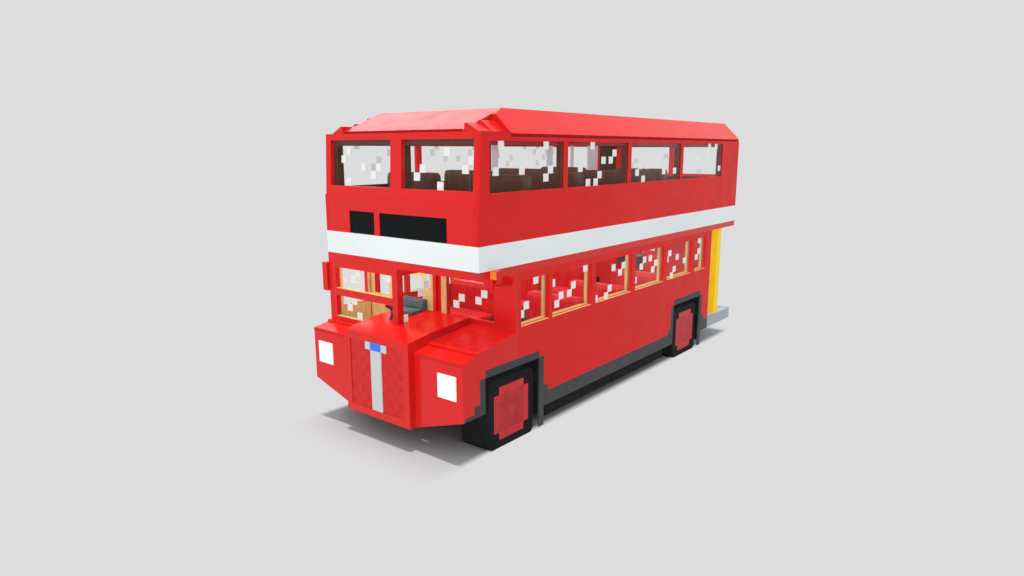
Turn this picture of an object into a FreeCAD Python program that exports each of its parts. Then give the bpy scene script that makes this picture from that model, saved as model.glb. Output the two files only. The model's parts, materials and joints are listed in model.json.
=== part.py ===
"""Half-cab double decker bus, built from square-edged panels on a ladder chassis.

The frame has +Z up, the front of the bus towards -Y and its nearside (its own left) towards +X. The origin is
on the ground, midway along and across the bus. Lengths along the bus are measured from the front wall of the
body, and `middle` moves them to the origin.
"""

import FreeCAD, Part

import operator
import os
from types import SimpleNamespace

import Sketcher

DIMENSIONS = (
    # name, millimetres, what it is
    ("body_length", 7800, "front wall of the body to its rear wall"),
    ("body_width", 2800, "over the side walls"),
    ("nose_reach", 400, "radiator ahead of the front wall"),
    ("roof_top", 4200, "ground to the flat of the roof"),
    ("wall", 60, "thickness of a body wall"),
    ("skin", 25, "thickness of an outer skirt, wing or arch panel"),
    ("pane", 8, "thickness of the glass"),
    ("pane_recess", 30, "outer face of a wall to its glass"),
    ("play", 5, "clearance round whatever opens"),
    ("skirt_bottom", 300, "underside of the skirts and the platform"),
    ("skirt_top", 500, "top of the skirts, and the platform's floor"),
    ("floor_top", 700, "lower saloon floor"),
    ("floor_thickness", 40, "lower saloon and cab floors"),
    ("lower_sill", 1500, "lower window sill"),
    ("lower_head", 2100, "lower window head"),
    ("ledge_bottom", 2200, "underside of the upper floor"),
    ("band_bottom", 2300, "upper floor, and underside of the pale band"),
    ("band_top", 2600, "top of the pale band"),
    ("upper_sill", 3200, "upper side window sill"),
    ("upper_head", 3800, "upper side window head"),
    ("front_sill", 3225, "upper front window sill"),
    ("front_head", 3820, "upper front window head"),
    ("eaves", 3850, "top of the side walls, under the roof's curb"),
    ("wall_top", 3905, "top of the front wall"),
    ("lean_start", 3100, "height where the front wall begins to lean back"),
    ("lean_foot", 20, "set-back of the leaning wall at its foot"),
    ("lean_head", 60, "set-back of the leaning wall at its top"),
    ("roof_lip", 3890, "lower edge of the roof's slopes"),
    ("roof_side_run", 320, "width of a side slope"),
    ("roof_front_run", 800, "length of the front slope"),
    ("roof_front_edge", 100, "set-back of the roof's front edge"),
    ("roof_corner_wide", 300, "width of the stepped roof corner"),
    ("roof_corner_long", 500, "length of the stepped roof corner"),
    ("roof_corner_crest", 40, "width of a corner block's flat top"),
    ("roof_corner_foot", 80, "body side to the foot of a corner block's slope"),
    ("roof_skin", 60, "thickness of the roof"),
    ("roof_curb", 20, "set-back of the curb under the side slopes"),
    ("platform_length", 1100, "open rear platform"),
    ("front_axle_set", 650, "front wall to front axle"),
    ("wheelbase", 5100, "front axle to rear axle"),
    ("wheel_size", 900, "height of a wheel"),
    ("wheel_corner", 50, "chamfer of a wheel's corners"),
    ("wheel_width", 460, "front wheel, or a rear pair over both"),
    ("wheel_set_in", 35, "body side to the outer face of a wheel"),
    ("twin_gap", 10, "between the two tyres of a rear pair"),
    ("hub_size", 700, "height of the hub's stepped face"),
    ("hub_step", 100, "step in each corner of the hub's face"),
    ("hub_depth", 120, "depth of the hub's face"),
    ("hub_set_in", 4, "hub's face behind the tyre's face"),
    ("cavity_radius", 300, "hollow behind the hub"),
    ("boss_radius", 110, "boss round the stub axle"),
    ("boss_length", 85, "length of a front hub's boss"),
    ("rear_boss_length", 245, "length of a rear hub's boss"),
    ("stub_radius", 45, "stub axle"),
    ("bore_gap", 0.5, "radial gap of a stub axle or king pin in its bore"),
    ("king_pin_in", 35, "wheel centre plane to the king pin"),
    ("king_pin_radius", 25, "king pin"),
    ("knuckle_width", 100, "steering knuckle's round body"),
    ("knuckle_height", 200, "steering knuckle"),
    ("axle_height", 120, "front axle beam"),
    ("axle_depth", 100, "front axle beam, front to back"),
    ("lug", 50, "thickness of the axle's king pin lugs"),
    ("rear_axle_radius", 60, "rear axle tube"),
    ("case_radius", 170, "rear axle's final drive case"),
    ("case_width", 300, "rear axle's final drive case"),
    ("arch_gap", 100, "wheel to the edge of its arch"),
    ("arch_trim", 100, "width of the dark trim round an arch"),
    ("arch_lap", 10, "overlap of the trim's corner blocks"),
    ("trim_step", 600, "height of the trim's lower step"),
    ("front_trim_step", 700, "height of the front trim's middle step"),
    ("nose_trim", 550, "underside of the wing's outer end"),
    ("flap_bottom", 30, "underside of the mudflaps"),
    ("housing_half", 695, "half length inside a front wheel housing"),
    ("rear_housing_half", 620, "half length inside a rear wheel housing"),
    ("housing_top", 1070, "underside of a wheel housing's roof"),
    ("housing_skin", 20, "thickness of a wheel housing"),
    ("housing_reach", 640, "centre line to the inside of a front wheel housing"),
    ("rear_housing_reach", 860, "centre line to the inside of a rear wheel housing"),
    ("rail_inner", 350, "centre line to a chassis rail"),
    ("rail_wide", 80, "width of a chassis rail"),
    ("spring_high", 30, "front axle's beam to the chassis rails"),
    ("member_bottom", 580, "underside of the cross members"),
    ("member_long", 80, "cross member, front to back"),
    ("member_reach", 1300, "centre line to the end of a cross member"),
    ("pad_long", 120, "jacking pad, front to back"),
    ("pad_deep", 20, "jacking pad below the chassis rail"),
    ("engine_top", 1250, "top of the engine"),
    ("engine_front", -200, "front of the engine"),
    ("engine_long", 880, "length of the engine"),
    ("nose_half", 600, "centre line to the side of the bonnet and radiator"),
    ("nose_top", 1400, "top of the radiator's front edge"),
    ("nose_wall", 60, "thickness of the radiator shell"),
    ("grille_half", 500, "centre line to the side of the grille"),
    ("grille_bottom", 400, "foot of the grille"),
    ("grille_top", 1300, "top of the grille opening"),
    ("grille_set_in", 12, "radiator front to the grille"),
    ("badge_bottom", 1200, "foot of the row of blocks over the grille"),
    ("bar_half", 100, "centre line to the side of the grille's bar"),
    ("bonnet_start", -40, "rear edge of the radiator shell"),
    ("bonnet_front_top", 1455, "top of the bonnet at its front"),
    ("bonnet_rear_top", 1520, "top of the bonnet at the bulkhead"),
    ("bonnet_skin", 30, "thickness of the bonnet"),
    ("lid_hinge_set", 130, "centre line to the bonnet lid's hinge"),
    ("flange_lift", 12, "bonnet lid's flange above the wing"),
    ("lid_gap", 15, "radiator shell to the bonnet lid, which leans forward as it lifts"),
    ("wing_front", 300, "wing's front face ahead of the front wall"),
    ("wing_face_top", 1230, "top of the wing's front face"),
    ("wing_brow", 1270, "top of the wing's sloping front edge"),
    ("wing_brow_set", 10, "length of that edge"),
    ("wing_step_set", 70, "wing's upper step ahead of the front wall"),
    ("wing_step_low", 1310, "foot of the wing's upper step"),
    ("wing_step_high", 1340, "head of the wing's upper step"),
    ("wing_shoulder_set", 300, "where the wing's top changes slope"),
    ("wing_shoulder", 1380, "height of the wing's top there"),
    ("wing_rear", 1438, "height of the wing's top at the bulkhead"),
    ("lamp_in", 1000, "centre line to a headlamp"),
    ("lamp_size", 300, "headlamp"),
    ("lamp_bottom", 800, "underside of a headlamp"),
    ("lamp_proud", 12, "headlamp ahead of the wing"),
    ("bulkhead_set", 740, "front wall to the bulkhead"),
    ("corner_panel_set", 700, "front wall to the bulkhead's corner panel"),
    ("corner_panel_in", 1030, "centre line to the corner panel"),
    ("corner_panel_foot", 1440, "foot of the corner panel"),
    ("corner_panel_top", 2000, "top of the corner panel"),
    ("bulkhead_window_in", 160, "centre line to the bulkhead's window"),
    ("bulkhead_window_out", 1020, "centre line to the far side of that window"),
    ("screen_in", 100, "centre line to the windscreen"),
    ("screen_out", 1260, "centre line to the windscreen's far side"),
    ("screen_low_sill", 1400, "sill of the lower windscreen pane"),
    ("screen_low_head", 1700, "head of the lower windscreen pane"),
    ("screen_top_sill", 1800, "sill of the upper windscreen pane"),
    ("cab_post", 100, "front post of the cab's nearside window"),
    ("cab_window_end", 700, "rear edge of the cab's nearside window"),
    ("door_start", 120, "front edge of the cab doorway"),
    ("door_end", 680, "rear edge of the cab doorway"),
    ("door_bottom", 1130, "foot of the cab doorway"),
    ("door_rail", 55, "cab door's frame round its window"),
    ("seat_in", 130, "centre line to the driver's seat"),
    ("seat_wide", 470, "driver's seat"),
    ("seat_front", 340, "front of the driver's seat"),
    ("seat_back_set", 600, "front of the driver's backrest"),
    ("seat_back_end", 690, "rear of the driver's backrest"),
    ("seat_top", 1580, "top of the driver's cushion"),
    ("seat_back_top", 1680, "top of the driver's backrest"),
    ("steering_set", 200, "front wall to the steering wheel"),
    ("steering_in", 290, "centre line to the steering wheel"),
    ("steering_height", 1600, "centre of the steering wheel"),
    ("steering_radius", 120, "steering wheel"),
    ("steering_rim", 14, "radius of the steering wheel's rim"),
    ("steering_column", 20, "radius of the steering column"),
    ("column_long", 165, "centre of the steering wheel to the foot of its column"),
    ("steering_tilt", 30, "degrees that the steering column leans"),
    ("front_window_in", 100, "centre line to an upper front window"),
    ("front_window_out", 1300, "centre line to the far side of that window"),
    ("blind_top", 2900, "top of the destination boxes"),
    ("blind_set_in", 15, "front wall to the destination boxes"),
    ("pole_size", 100, "platform pole"),
    ("pole_out", 1320, "centre line to the outer face of the pole"),
    ("pole_set", 480, "rear edge of the saloon to the pole"),
    ("doorway_wide", 640, "width of the saloon's rear doorway, offside of the centre line"),
    ("partition_sill", 1700, "sill of the opening in the saloon's rear wall"),
    ("partition_edge", 1050, "centre line to the far side of that opening"),
    ("rear_wall_edge", 500, "centre line to the edge of the lower rear wall"),
    ("rear_window_in", 300, "centre line to the lower rear window"),
    ("rear_window_out", 1100, "centre line to the far side of that window"),
    ("exit_half", 1050, "half width of the upper emergency window"),
    ("exit_bottom", 3150, "foot of the upper emergency window"),
    ("exit_rail", 50, "emergency window's frame"),
    ("exit_post", 60, "half width of the emergency window's middle post"),
    ("stair_edge", 300, "nearside edge of the first stair"),
    ("stair_turn", -600, "nearside edge of the stair's landing"),
    ("stair_depth", 450, "width of the lower flight"),
    ("stair_gap", 60, "stairs to the rear wall"),
    ("stair_plate", 50, "thickness of the stairs"),
    ("landing_top", 1450, "height of the landing"),
    ("stairwell_long", 1000, "stairwell in the upper floor"),
    ("bench_base", 1050, "underside of the lower seat cushions"),
    ("bench_top", 1130, "top of the lower seat cushions"),
    ("bench_back", 1600, "top of the lower seat backs"),
    ("bench_in", 300, "centre line to a double seat"),
    ("bench_out", 1300, "centre line to the far end of a double seat"),
    ("bench_long", 450, "seat cushion, front to back"),
    ("bench_thick", 200, "thickness of a seat back"),
    ("upper_bench_base", 2650, "underside of the upper seat cushions"),
    ("upper_bench_top", 2730, "top of the upper seat cushions"),
    ("upper_bench_back", 3400, "top of the upper seat backs"),
    ("leg_wide", 60, "seat leg across"),
    ("indicator_set", 200, "front wall to the indicator"),
    ("side_box", 100, "indicator and mirror housing, out from the body"),
    ("mirror_bottom", 1750, "underside of the mirror housing"),
    ("mirror_high", 400, "mirror housing"),
    ("mirror_lead", 40, "mirror housing ahead of the front wall"),
    ("eye_plate", 40, "thickness of the towing eye"),
    ("eye_wide", 160, "width of the towing eye"),
    ("eye_long", 200, "length of the towing eye"),
    ("eye_bore", 25, "radius of the towing eye's bore"),
)

LOWER_WINDOWS = (
    # start, length: one row for each window of a side wall, in millimetres from the front wall
    (800, 600),
    (1480, 970),
    (2570, 1060),
    (3750, 980),
    (4860, 970),
    (5970, 480),
)
UPPER_WINDOWS = (
    # start, length: as above
    (200, 1500),
    (1800, 1600),
    (3500, 1700),
    (5300, 1700),
)
BLINDS = (
    # name, low, high: destination boxes across the front
    ("route", -900, -400),
    ("place", -300, 900),
)
ROOF_CORNER_STEPS = (
    # name, start and end behind the roof's front edge, rise above the wall top
    ("front", 10, 250, 95),
    ("rear", 250, 500, 135),
)
BENCH_BACKS = (2300, 3450, 4820)  # fronts of the lower seats' backs
UPPER_BENCH_BACKS = (1000, 2200, 3500, 4800)  # fronts of the upper seats' backs
MEMBER_STARTS = (1500, 2600, 3700, 4800, 6560)  # fronts of the chassis cross members
PAD_STARTS = (1700, 4500)  # front edges of the jacking pads under the chassis rails
SIDES = (("nearside", 1), ("offside", -1))
LOWER_STEPS = 5
UPPER_STEPS = 4

document = FreeCAD.newDocument("double_decker_bus")
sheet = document.addObject("Spreadsheet::Sheet", "Sizes")


class Size:
    """A length that carries both its number and the sheet formula that gives it."""

    def __init__(self, number, formula):
        self.number = number
        self.formula = formula

    def __add__(self, other):
        return combine(operator.add, "+", self, other)

    def __radd__(self, other):
        return combine(operator.add, "+", other, self)

    def __sub__(self, other):
        return combine(operator.sub, "-", self, other)

    def __rsub__(self, other):
        return combine(operator.sub, "-", other, self)

    def __mul__(self, other):
        return combine(operator.mul, "*", self, other)

    def __rmul__(self, other):
        return combine(operator.mul, "*", other, self)

    def __truediv__(self, other):
        return combine(operator.truediv, "/", self, other)

    def __neg__(self):
        return 0 - self


def size(thing):
    """Any number or Size, as a Size."""
    return thing if isinstance(thing, Size) else Size(thing, str(thing))


def combine(operation, sign, first, second):
    """The Size of two Sizes taken together."""
    first, second = size(first), size(second)
    return Size(operation(first.number, second.number), f"({first.formula} {sign} {second.formula})")


def fill_sheet():
    """Writes the dimensions to the sheet and returns them as Sizes, by name."""
    named = {}
    for row, (name, number, meaning) in enumerate(DIMENSIONS, start=1):
        sheet.set(f"A{row}", meaning)
        sheet.set(f"B{row}", str(number))
        sheet.setAlias(f"B{row}", name)
        named[name] = Size(number, f"Sizes.{name}")
    document.recompute()
    return SimpleNamespace(**named)


def bind(thing, path, length):
    """Gives a property of an object the formula of a Size."""
    thing.setExpression(path, size(length).formula)


def block(name, across, along, up):
    """A box from its (low, high) pairs across the bus, along it from the front wall, and up."""
    box = document.addObject("Part::Box", name)
    for side, (low, high) in zip(("Length", "Width", "Height"), (across, along, up)):
        bind(box, side, high - size(low))
    bind(box, ".Placement.Base.x", across[0])
    bind(box, ".Placement.Base.y", along[0] - middle)
    bind(box, ".Placement.Base.z", up[0])
    return box


def rod(name, centre, across, radius):
    """A cylinder across the bus, on a centre (along, up) and between two places across."""
    cylinder = document.addObject("Part::Cylinder", name)
    cylinder.Placement = FreeCAD.Placement(
        FreeCAD.Vector(), FreeCAD.Rotation(FreeCAD.Vector(0, 1, 0), 90)
    )
    bind(cylinder, "Radius", radius)
    bind(cylinder, "Height", across[1] - size(across[0]))
    bind(cylinder, ".Placement.Base.x", across[0])
    bind(cylinder, ".Placement.Base.y", centre[0] - middle)
    bind(cylinder, ".Placement.Base.z", centre[1])
    return cylinder


def post(name, centre, up, radius):
    """An upright cylinder on a centre (across, along)."""
    cylinder = document.addObject("Part::Cylinder", name)
    bind(cylinder, "Radius", radius)
    bind(cylinder, "Height", up[1] - size(up[0]))
    bind(cylinder, ".Placement.Base.x", centre[0])
    bind(cylinder, ".Placement.Base.y", centre[1] - middle)
    bind(cylinder, ".Placement.Base.z", up[0])
    return cylinder


def sheet_panel(name, plane, outline, start, end):
    """A straight-sided outline drawn on a plane and padded from start to end.

    On YZ_Plane the outline holds (along, up) pairs and the pad runs across the bus; on XZ_Plane it holds
    (across, up) pairs and the pad runs along the bus.
    """
    body = document.addObject("PartDesign::Body", name)
    sketch = body.newObject("Sketcher::SketchObject", f"{name}_outline")
    base = next(feature for feature in body.Origin.OriginFeatures if feature.Role == plane)
    sketch.AttachmentSupport = [(base, "")]
    sketch.MapMode = "FlatFace"
    corners = [(size(first), size(second)) for first, second in outline]
    points = [FreeCAD.Vector(first.number, second.number, 0) for first, second in corners]
    count = len(points)
    for index in range(count):
        sketch.addGeometry(Part.LineSegment(points[index], points[(index + 1) % count]))
    for index in range(count):
        sketch.addConstraint(Sketcher.Constraint("Coincident", index, 2, (index + 1) % count, 1))
    for index, corner in enumerate(corners):
        for kind, distance in zip(("DistanceX", "DistanceY"), corner):
            place = sketch.addConstraint(
                Sketcher.Constraint(kind, -1, 1, index, 1, float(distance.number))
            )
            bind(sketch, f"Constraints[{place}]", distance)
    pad = body.newObject("PartDesign::Pad", f"{name}_pad")
    pad.Profile = sketch
    pad.Reversed = plane == "XZ_Plane"
    bind(pad, "Length", end - size(start))
    if plane == "YZ_Plane":
        bind(body, ".Placement.Base.x", start)
        bind(body, ".Placement.Base.y", -middle)
    else:
        bind(body, ".Placement.Base.y", start - middle)
    return body


def join(name, pieces):
    """Several solids as one piece."""
    joined = document.addObject("Part::MultiFuse", name)
    joined.Shapes = pieces
    return joined


def cut(name, base, tools):
    """A piece with openings cut out of it."""
    piece = document.addObject("Part::Cut", name)
    piece.Base = base
    piece.Tool = tools[0] if len(tools) == 1 else join(f"{name}_openings", tools)
    return piece


def publish(piece, label):
    """Labels a finished sub-part."""
    piece.Label = label
    finished.append(piece)


def sided(sign, low, high):
    """The (low, high) pair across the bus of something that lies low to high from the centre line."""
    return (low, high) if sign > 0 else (-size(high), -size(low))


dims = fill_sheet()
middle = (dims.body_length - dims.nose_reach) / 2
half = dims.body_width / 2
inside = half - dims.wall
saloon_end = dims.body_length - dims.platform_length
hub_height = dims.wheel_size / 2
front_axle = dims.front_axle_set
rear_axle = dims.front_axle_set + dims.wheelbase
wheel_outer = half - dims.wheel_set_in
wheel_inner = wheel_outer - dims.wheel_width
king_pin = wheel_outer - dims.wheel_width / 2 - dims.king_pin_in
rail_bottom = hub_height + dims.axle_height / 2 + dims.spring_high
arch_top = dims.wheel_size + dims.arch_gap
arch_half = dims.wheel_size / 2 + dims.arch_gap
trim_top = arch_top + dims.arch_trim
pane_in = half - dims.pane_recess - dims.pane
beyond = 1000  # how far a cutting tool runs past what it cuts
HOUSINGS = (
    # name, axle, centre line to its inside, half length inside, foot
    ("front", front_axle, dims.housing_reach, dims.housing_half, dims.trim_step),
    (
        "rear",
        rear_axle,
        dims.rear_housing_reach,
        dims.rear_housing_half,
        dims.floor_top - dims.floor_thickness,
    ),
)
finished = []


def arch_outline(axle):
    """The stepped upper edge of an arch's trim, from its front foot to its rear foot."""
    front, rear = axle - arch_half, axle + arch_half
    lapped = arch_top + dims.arch_lap
    one, two = dims.arch_trim, 2 * dims.arch_trim
    return [
        (front - two, dims.skirt_top),
        (front - two, dims.trim_step),
        (front - one, dims.trim_step),
        (front - one, lapped),
        (front, lapped),
        (front, trim_top),
        (rear, trim_top),
        (rear, lapped),
        (rear + one, lapped),
        (rear + one, dims.trim_step),
        (rear + two, dims.trim_step),
        (rear + two, dims.skirt_top),
    ]


def nose_outline():
    """The stepped upper edge of the front arch's trim on the wing, behind its foot."""
    front = front_axle - arch_half
    one = dims.arch_trim
    return [
        (front - 2 * one, dims.trim_step),
        (front - 2 * one, dims.front_trim_step),
        (front - one, dims.front_trim_step),
        (front - one, arch_top + dims.arch_lap),
        (front, arch_top + dims.arch_lap),
        (front, trim_top),
    ]


def build_skirts():
    """Dark skirts with the stepped arch trims and the mudflaps' outer edges, one panel a side."""
    nose = dims.skin - dims.wing_front
    upper = [(nose, dims.nose_trim), (nose, dims.trim_step), *nose_outline()]
    upper += arch_outline(front_axle)[6:] + arch_outline(rear_axle)
    lower = []
    for axle, foot in ((rear_axle, dims.skirt_bottom), (front_axle, dims.nose_trim)):
        start, end = axle - arch_half, axle + arch_half
        lower += [
            (end + dims.arch_trim, dims.skirt_bottom),
            (end + dims.arch_trim, dims.flap_bottom),
            (end, dims.flap_bottom),
            (end, arch_top),
            (start, arch_top),
            (start, foot),
        ]
    for name, sign in SIDES:
        end = saloon_end if sign > 0 else dims.body_length
        outline = [*upper, (end, dims.skirt_top), (end, dims.skirt_bottom), *lower]
        across = sided(sign, half - dims.skin, half)
        publish(sheet_panel(f"skirt_{name}_panel", "YZ_Plane", outline, *across), f"skirt_{name}")


def window_cuts(name, windows, across, up):
    """Cutting boxes for a row of side windows."""
    return [
        block(f"{name}_{index}", across, (start, start + size(length)), up)
        for index, (start, length) in enumerate(windows)
    ]


def build_lower_sides():
    """Lower side walls, stepped over the arches; the offside wall holds the cab doorway."""
    up = (dims.lower_sill, dims.lower_head)
    for name, sign in SIDES:
        across = sided(sign, inside, half)
        reach = sided(sign, inside - dims.wall, half + dims.wall)
        if sign > 0:
            outline = [(dims.bulkhead_set, trim_top), *arch_outline(front_axle)[6:]]
            start, end = dims.bulkhead_set, saloon_end
        else:
            outline = [(0, arch_top + dims.arch_lap), *nose_outline()[4:], *arch_outline(front_axle)[6:]]
            start, end = size(0), dims.body_length
        outline += arch_outline(rear_axle)
        outline += [(end, dims.skirt_top), (end, dims.ledge_bottom), (start, dims.ledge_bottom)]
        panel = sheet_panel(f"lower_side_{name}_panel", "YZ_Plane", outline, *across)
        openings = window_cuts(f"lower_{name}_window", LOWER_WINDOWS, reach, up)
        if sign < 0:
            doorway_up = (dims.door_bottom, dims.lower_head + dims.play)
            openings.append(block("doorway", reach, (dims.door_start, dims.door_end), doorway_up))
        publish(cut(f"lower_side_{name}_wall", panel, openings), f"lower_side_{name}")


def build_upper_sides():
    """Upper side walls, whose front edge leans back with the front wall."""
    outline = [
        (0, dims.band_top),
        (0, dims.lean_start),
        (dims.lean_foot, dims.lean_start),
        (dims.lean_head, dims.wall_top),
        (dims.roof_front_edge + dims.roof_corner_long, dims.wall_top),
        (dims.roof_front_edge + dims.roof_corner_long, dims.eaves),
        (dims.body_length, dims.eaves),
        (dims.body_length, dims.band_top),
    ]
    for name, sign in SIDES:
        panel = sheet_panel(f"upper_side_{name}_panel", "YZ_Plane", outline, *sided(sign, inside, half))
        reach = sided(sign, inside - dims.wall, half + dims.wall)
        up = (dims.upper_sill, dims.upper_head)
        openings = window_cuts(f"upper_{name}_window", UPPER_WINDOWS, reach, up)
        publish(cut(f"upper_side_{name}_wall", panel, openings), f"upper_side_{name}")


def build_upper_front():
    """Upright panel with two destination boxes, and the leaning wall with two windows above it."""
    across = (-inside, inside)
    upright = block("front_upright", across, (0, dims.wall), (dims.band_top, dims.lean_start))
    leaning = sheet_panel(
        "front_leaning",
        "YZ_Plane",
        [
            (dims.lean_foot, dims.lean_start),
            (dims.lean_foot + dims.wall, dims.lean_start),
            (dims.lean_head + dims.wall, dims.wall_top),
            (dims.lean_head, dims.wall_top),
        ],
        *across,
    )
    openings = [
        block(
            f"front_window_{name}",
            sided(sign, dims.front_window_in, dims.front_window_out),
            (-dims.wall, 3 * dims.wall),
            (dims.front_sill, dims.front_head),
        )
        for name, sign in SIDES
    ]
    blinds = []
    blind_up = (dims.band_top, dims.blind_top)
    for name, low, high in BLINDS:
        openings.append(block(f"blind_cut_{name}", (low, high), (-dims.wall, 2 * dims.wall), blind_up))
        blinds.append(block(f"blind_{name}", (low, high), (dims.blind_set_in, dims.wall), blind_up))
    whole = join("front_whole", [upright, leaning])
    publish(cut("upper_front_wall", whole, openings), "upper_front")
    publish(join("blinds", blinds), "destination_boxes")


def build_bands():
    """Pale band round the body, and the upper floor whose red edge shows under it."""
    ring = block("band_outer", (-half, half), (0, dims.body_length), (dims.band_bottom, dims.band_top))
    core = block(
        "band_core",
        (-inside, inside),
        (dims.wall, dims.body_length - dims.wall),
        (dims.band_bottom - dims.wall, dims.band_top + dims.wall),
    )
    publish(cut("waist_ring", ring, [core]), "waist_band")
    slab = block("floor_slab", (-half, half), (0, dims.body_length), (dims.ledge_bottom, dims.band_bottom))
    well_end = dims.body_length - dims.wall - dims.stair_gap
    well = block(
        "stairwell",
        (-inside, dims.stair_turn),
        (well_end - dims.stairwell_long, well_end),
        (dims.ledge_bottom - dims.wall, dims.band_bottom + dims.wall),
    )
    publish(cut("upper_floor_slab", slab, [well]), "upper_floor")


def build_rear():
    """Upper rear wall with its emergency window, and the lower rear wall beside the open platform."""
    rear = dims.body_length
    wall = block("rear_upper", (-inside, inside), (rear - dims.wall, rear), (dims.band_top, dims.roof_lip))
    reach = (rear - 2 * dims.wall, rear + dims.wall)
    exit_up = (dims.exit_bottom, dims.upper_head)
    hole = block("exit_hole", (-dims.exit_half, dims.exit_half), reach, exit_up)
    publish(cut("upper_rear_wall", wall, [hole]), "upper_rear")
    edge = dims.exit_half - dims.play
    low, high = dims.exit_bottom + dims.play, dims.upper_head - dims.play
    frame = block("exit_frame", (-edge, edge), (rear - dims.wall, rear), (low, high))
    glass_along = (rear - dims.pane_recess - dims.pane, rear - dims.pane_recess)
    light_up = (low + dims.exit_rail, high - dims.exit_rail)
    gaps, panes = [], []
    for name, sign in SIDES:
        across = sided(sign, dims.exit_post, edge - dims.exit_rail)
        gaps.append(block(f"exit_light_{name}", across, reach, light_up))
        panes.append(block(f"exit_pane_{name}", across, glass_along, light_up))
    publish(cut("exit_window_frame", frame, gaps), "emergency_window")
    publish(join("exit_panes", panes), "emergency_window_glass")
    across = (-inside, dims.rear_wall_edge)
    lower = block("rear_lower", across, (rear - dims.wall, rear), (dims.skirt_top, dims.ledge_bottom))
    opening = block(
        "rear_lower_hole",
        (-dims.rear_window_out, -dims.rear_window_in),
        reach,
        (dims.lower_sill, dims.lower_head),
    )
    publish(cut("lower_rear_wall", lower, [opening]), "lower_rear")


def build_roof():
    """Hipped roof shell: sloping sides and front, stepped front corners, and an upright rear end."""
    front, rear = dims.roof_front_edge, dims.body_length
    corner_end = front + dims.roof_corner_long
    corner_in = half - dims.roof_corner_wide
    past = half + beyond
    trims, guards, pieces = [], [], []
    for name, sign in SIDES:
        recess_up = (dims.wall_top, dims.roof_top)
        recess = block(f"roof_recess_{name}", sided(sign, corner_in, past), (-beyond, corner_end), recess_up)
        trims.append(recess)
        guard_across = sided(sign, corner_in - dims.roof_skin, past)
        guard_along = (-beyond, corner_end + dims.roof_skin)
        guards.append(block(f"roof_guard_{name}", guard_across, guard_along, (0, dims.roof_top)))
        ledge_along = (dims.lean_head + dims.wall, corner_end)
        ledge_up = (dims.roof_lip, dims.wall_top)
        pieces.append(block(f"roof_ledge_{name}", sided(sign, corner_in, inside), ledge_along, ledge_up))
        curb = sided(sign, inside, half - dims.roof_curb)
        pieces.append(block(f"curb_{name}", curb, (corner_end, rear), (dims.eaves, dims.roof_lip)))
        for part, start, end, rise in ROOF_CORNER_STEPS:
            outline = [
                (sign * corner_in, dims.wall_top),
                (sign * corner_in, dims.wall_top + rise),
                (sign * (corner_in + dims.roof_corner_crest), dims.wall_top + rise),
                (sign * (half - dims.roof_corner_foot), dims.wall_top),
            ]
            step = f"roof_corner_{name}_{part}"
            pieces.append(sheet_panel(step, "XZ_Plane", outline, front + start, front + end))
    outer = hip("roof_outer", size(0), dims.roof_lip, dims.roof_top)
    inner_top = dims.roof_top - dims.roof_skin
    inner = hip("roof_inner", dims.roof_skin, dims.roof_lip - dims.play, inner_top)
    trims += [
        cut("roof_hollow", inner, guards),
        block("roof_nose", (-past, past), (-beyond, front), (0, dims.roof_top)),
        block("roof_foot", (-past, past), (-beyond, corner_end), (0, dims.wall_top)),
    ]
    publish(join("roof_whole", [cut("roof_shell", outer, trims), *pieces]), "roof")


def hip(name, inset, low, high):
    """A hipped block with an upright rear, every side of it inset from the roof's own."""
    wedge = document.addObject("Part::Wedge", name)
    turned = FreeCAD.Rotation(FreeCAD.Vector(1, 0, 0), 90)
    wedge.Placement = FreeCAD.Placement(FreeCAD.Vector(), turned)
    reach = half - inset
    near, far = middle - inset, middle - dims.body_length + inset
    bind(wedge, "Xmin", -reach)
    bind(wedge, "Xmax", reach)
    bind(wedge, "X2min", dims.roof_side_run - reach)
    bind(wedge, "X2max", reach - dims.roof_side_run)
    bind(wedge, "Ymin", low)
    bind(wedge, "Ymax", high)
    bind(wedge, "Zmin", far)
    bind(wedge, "Zmax", near)
    bind(wedge, "Z2min", far)
    bind(wedge, "Z2max", near - dims.roof_front_run)
    return wedge


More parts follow.
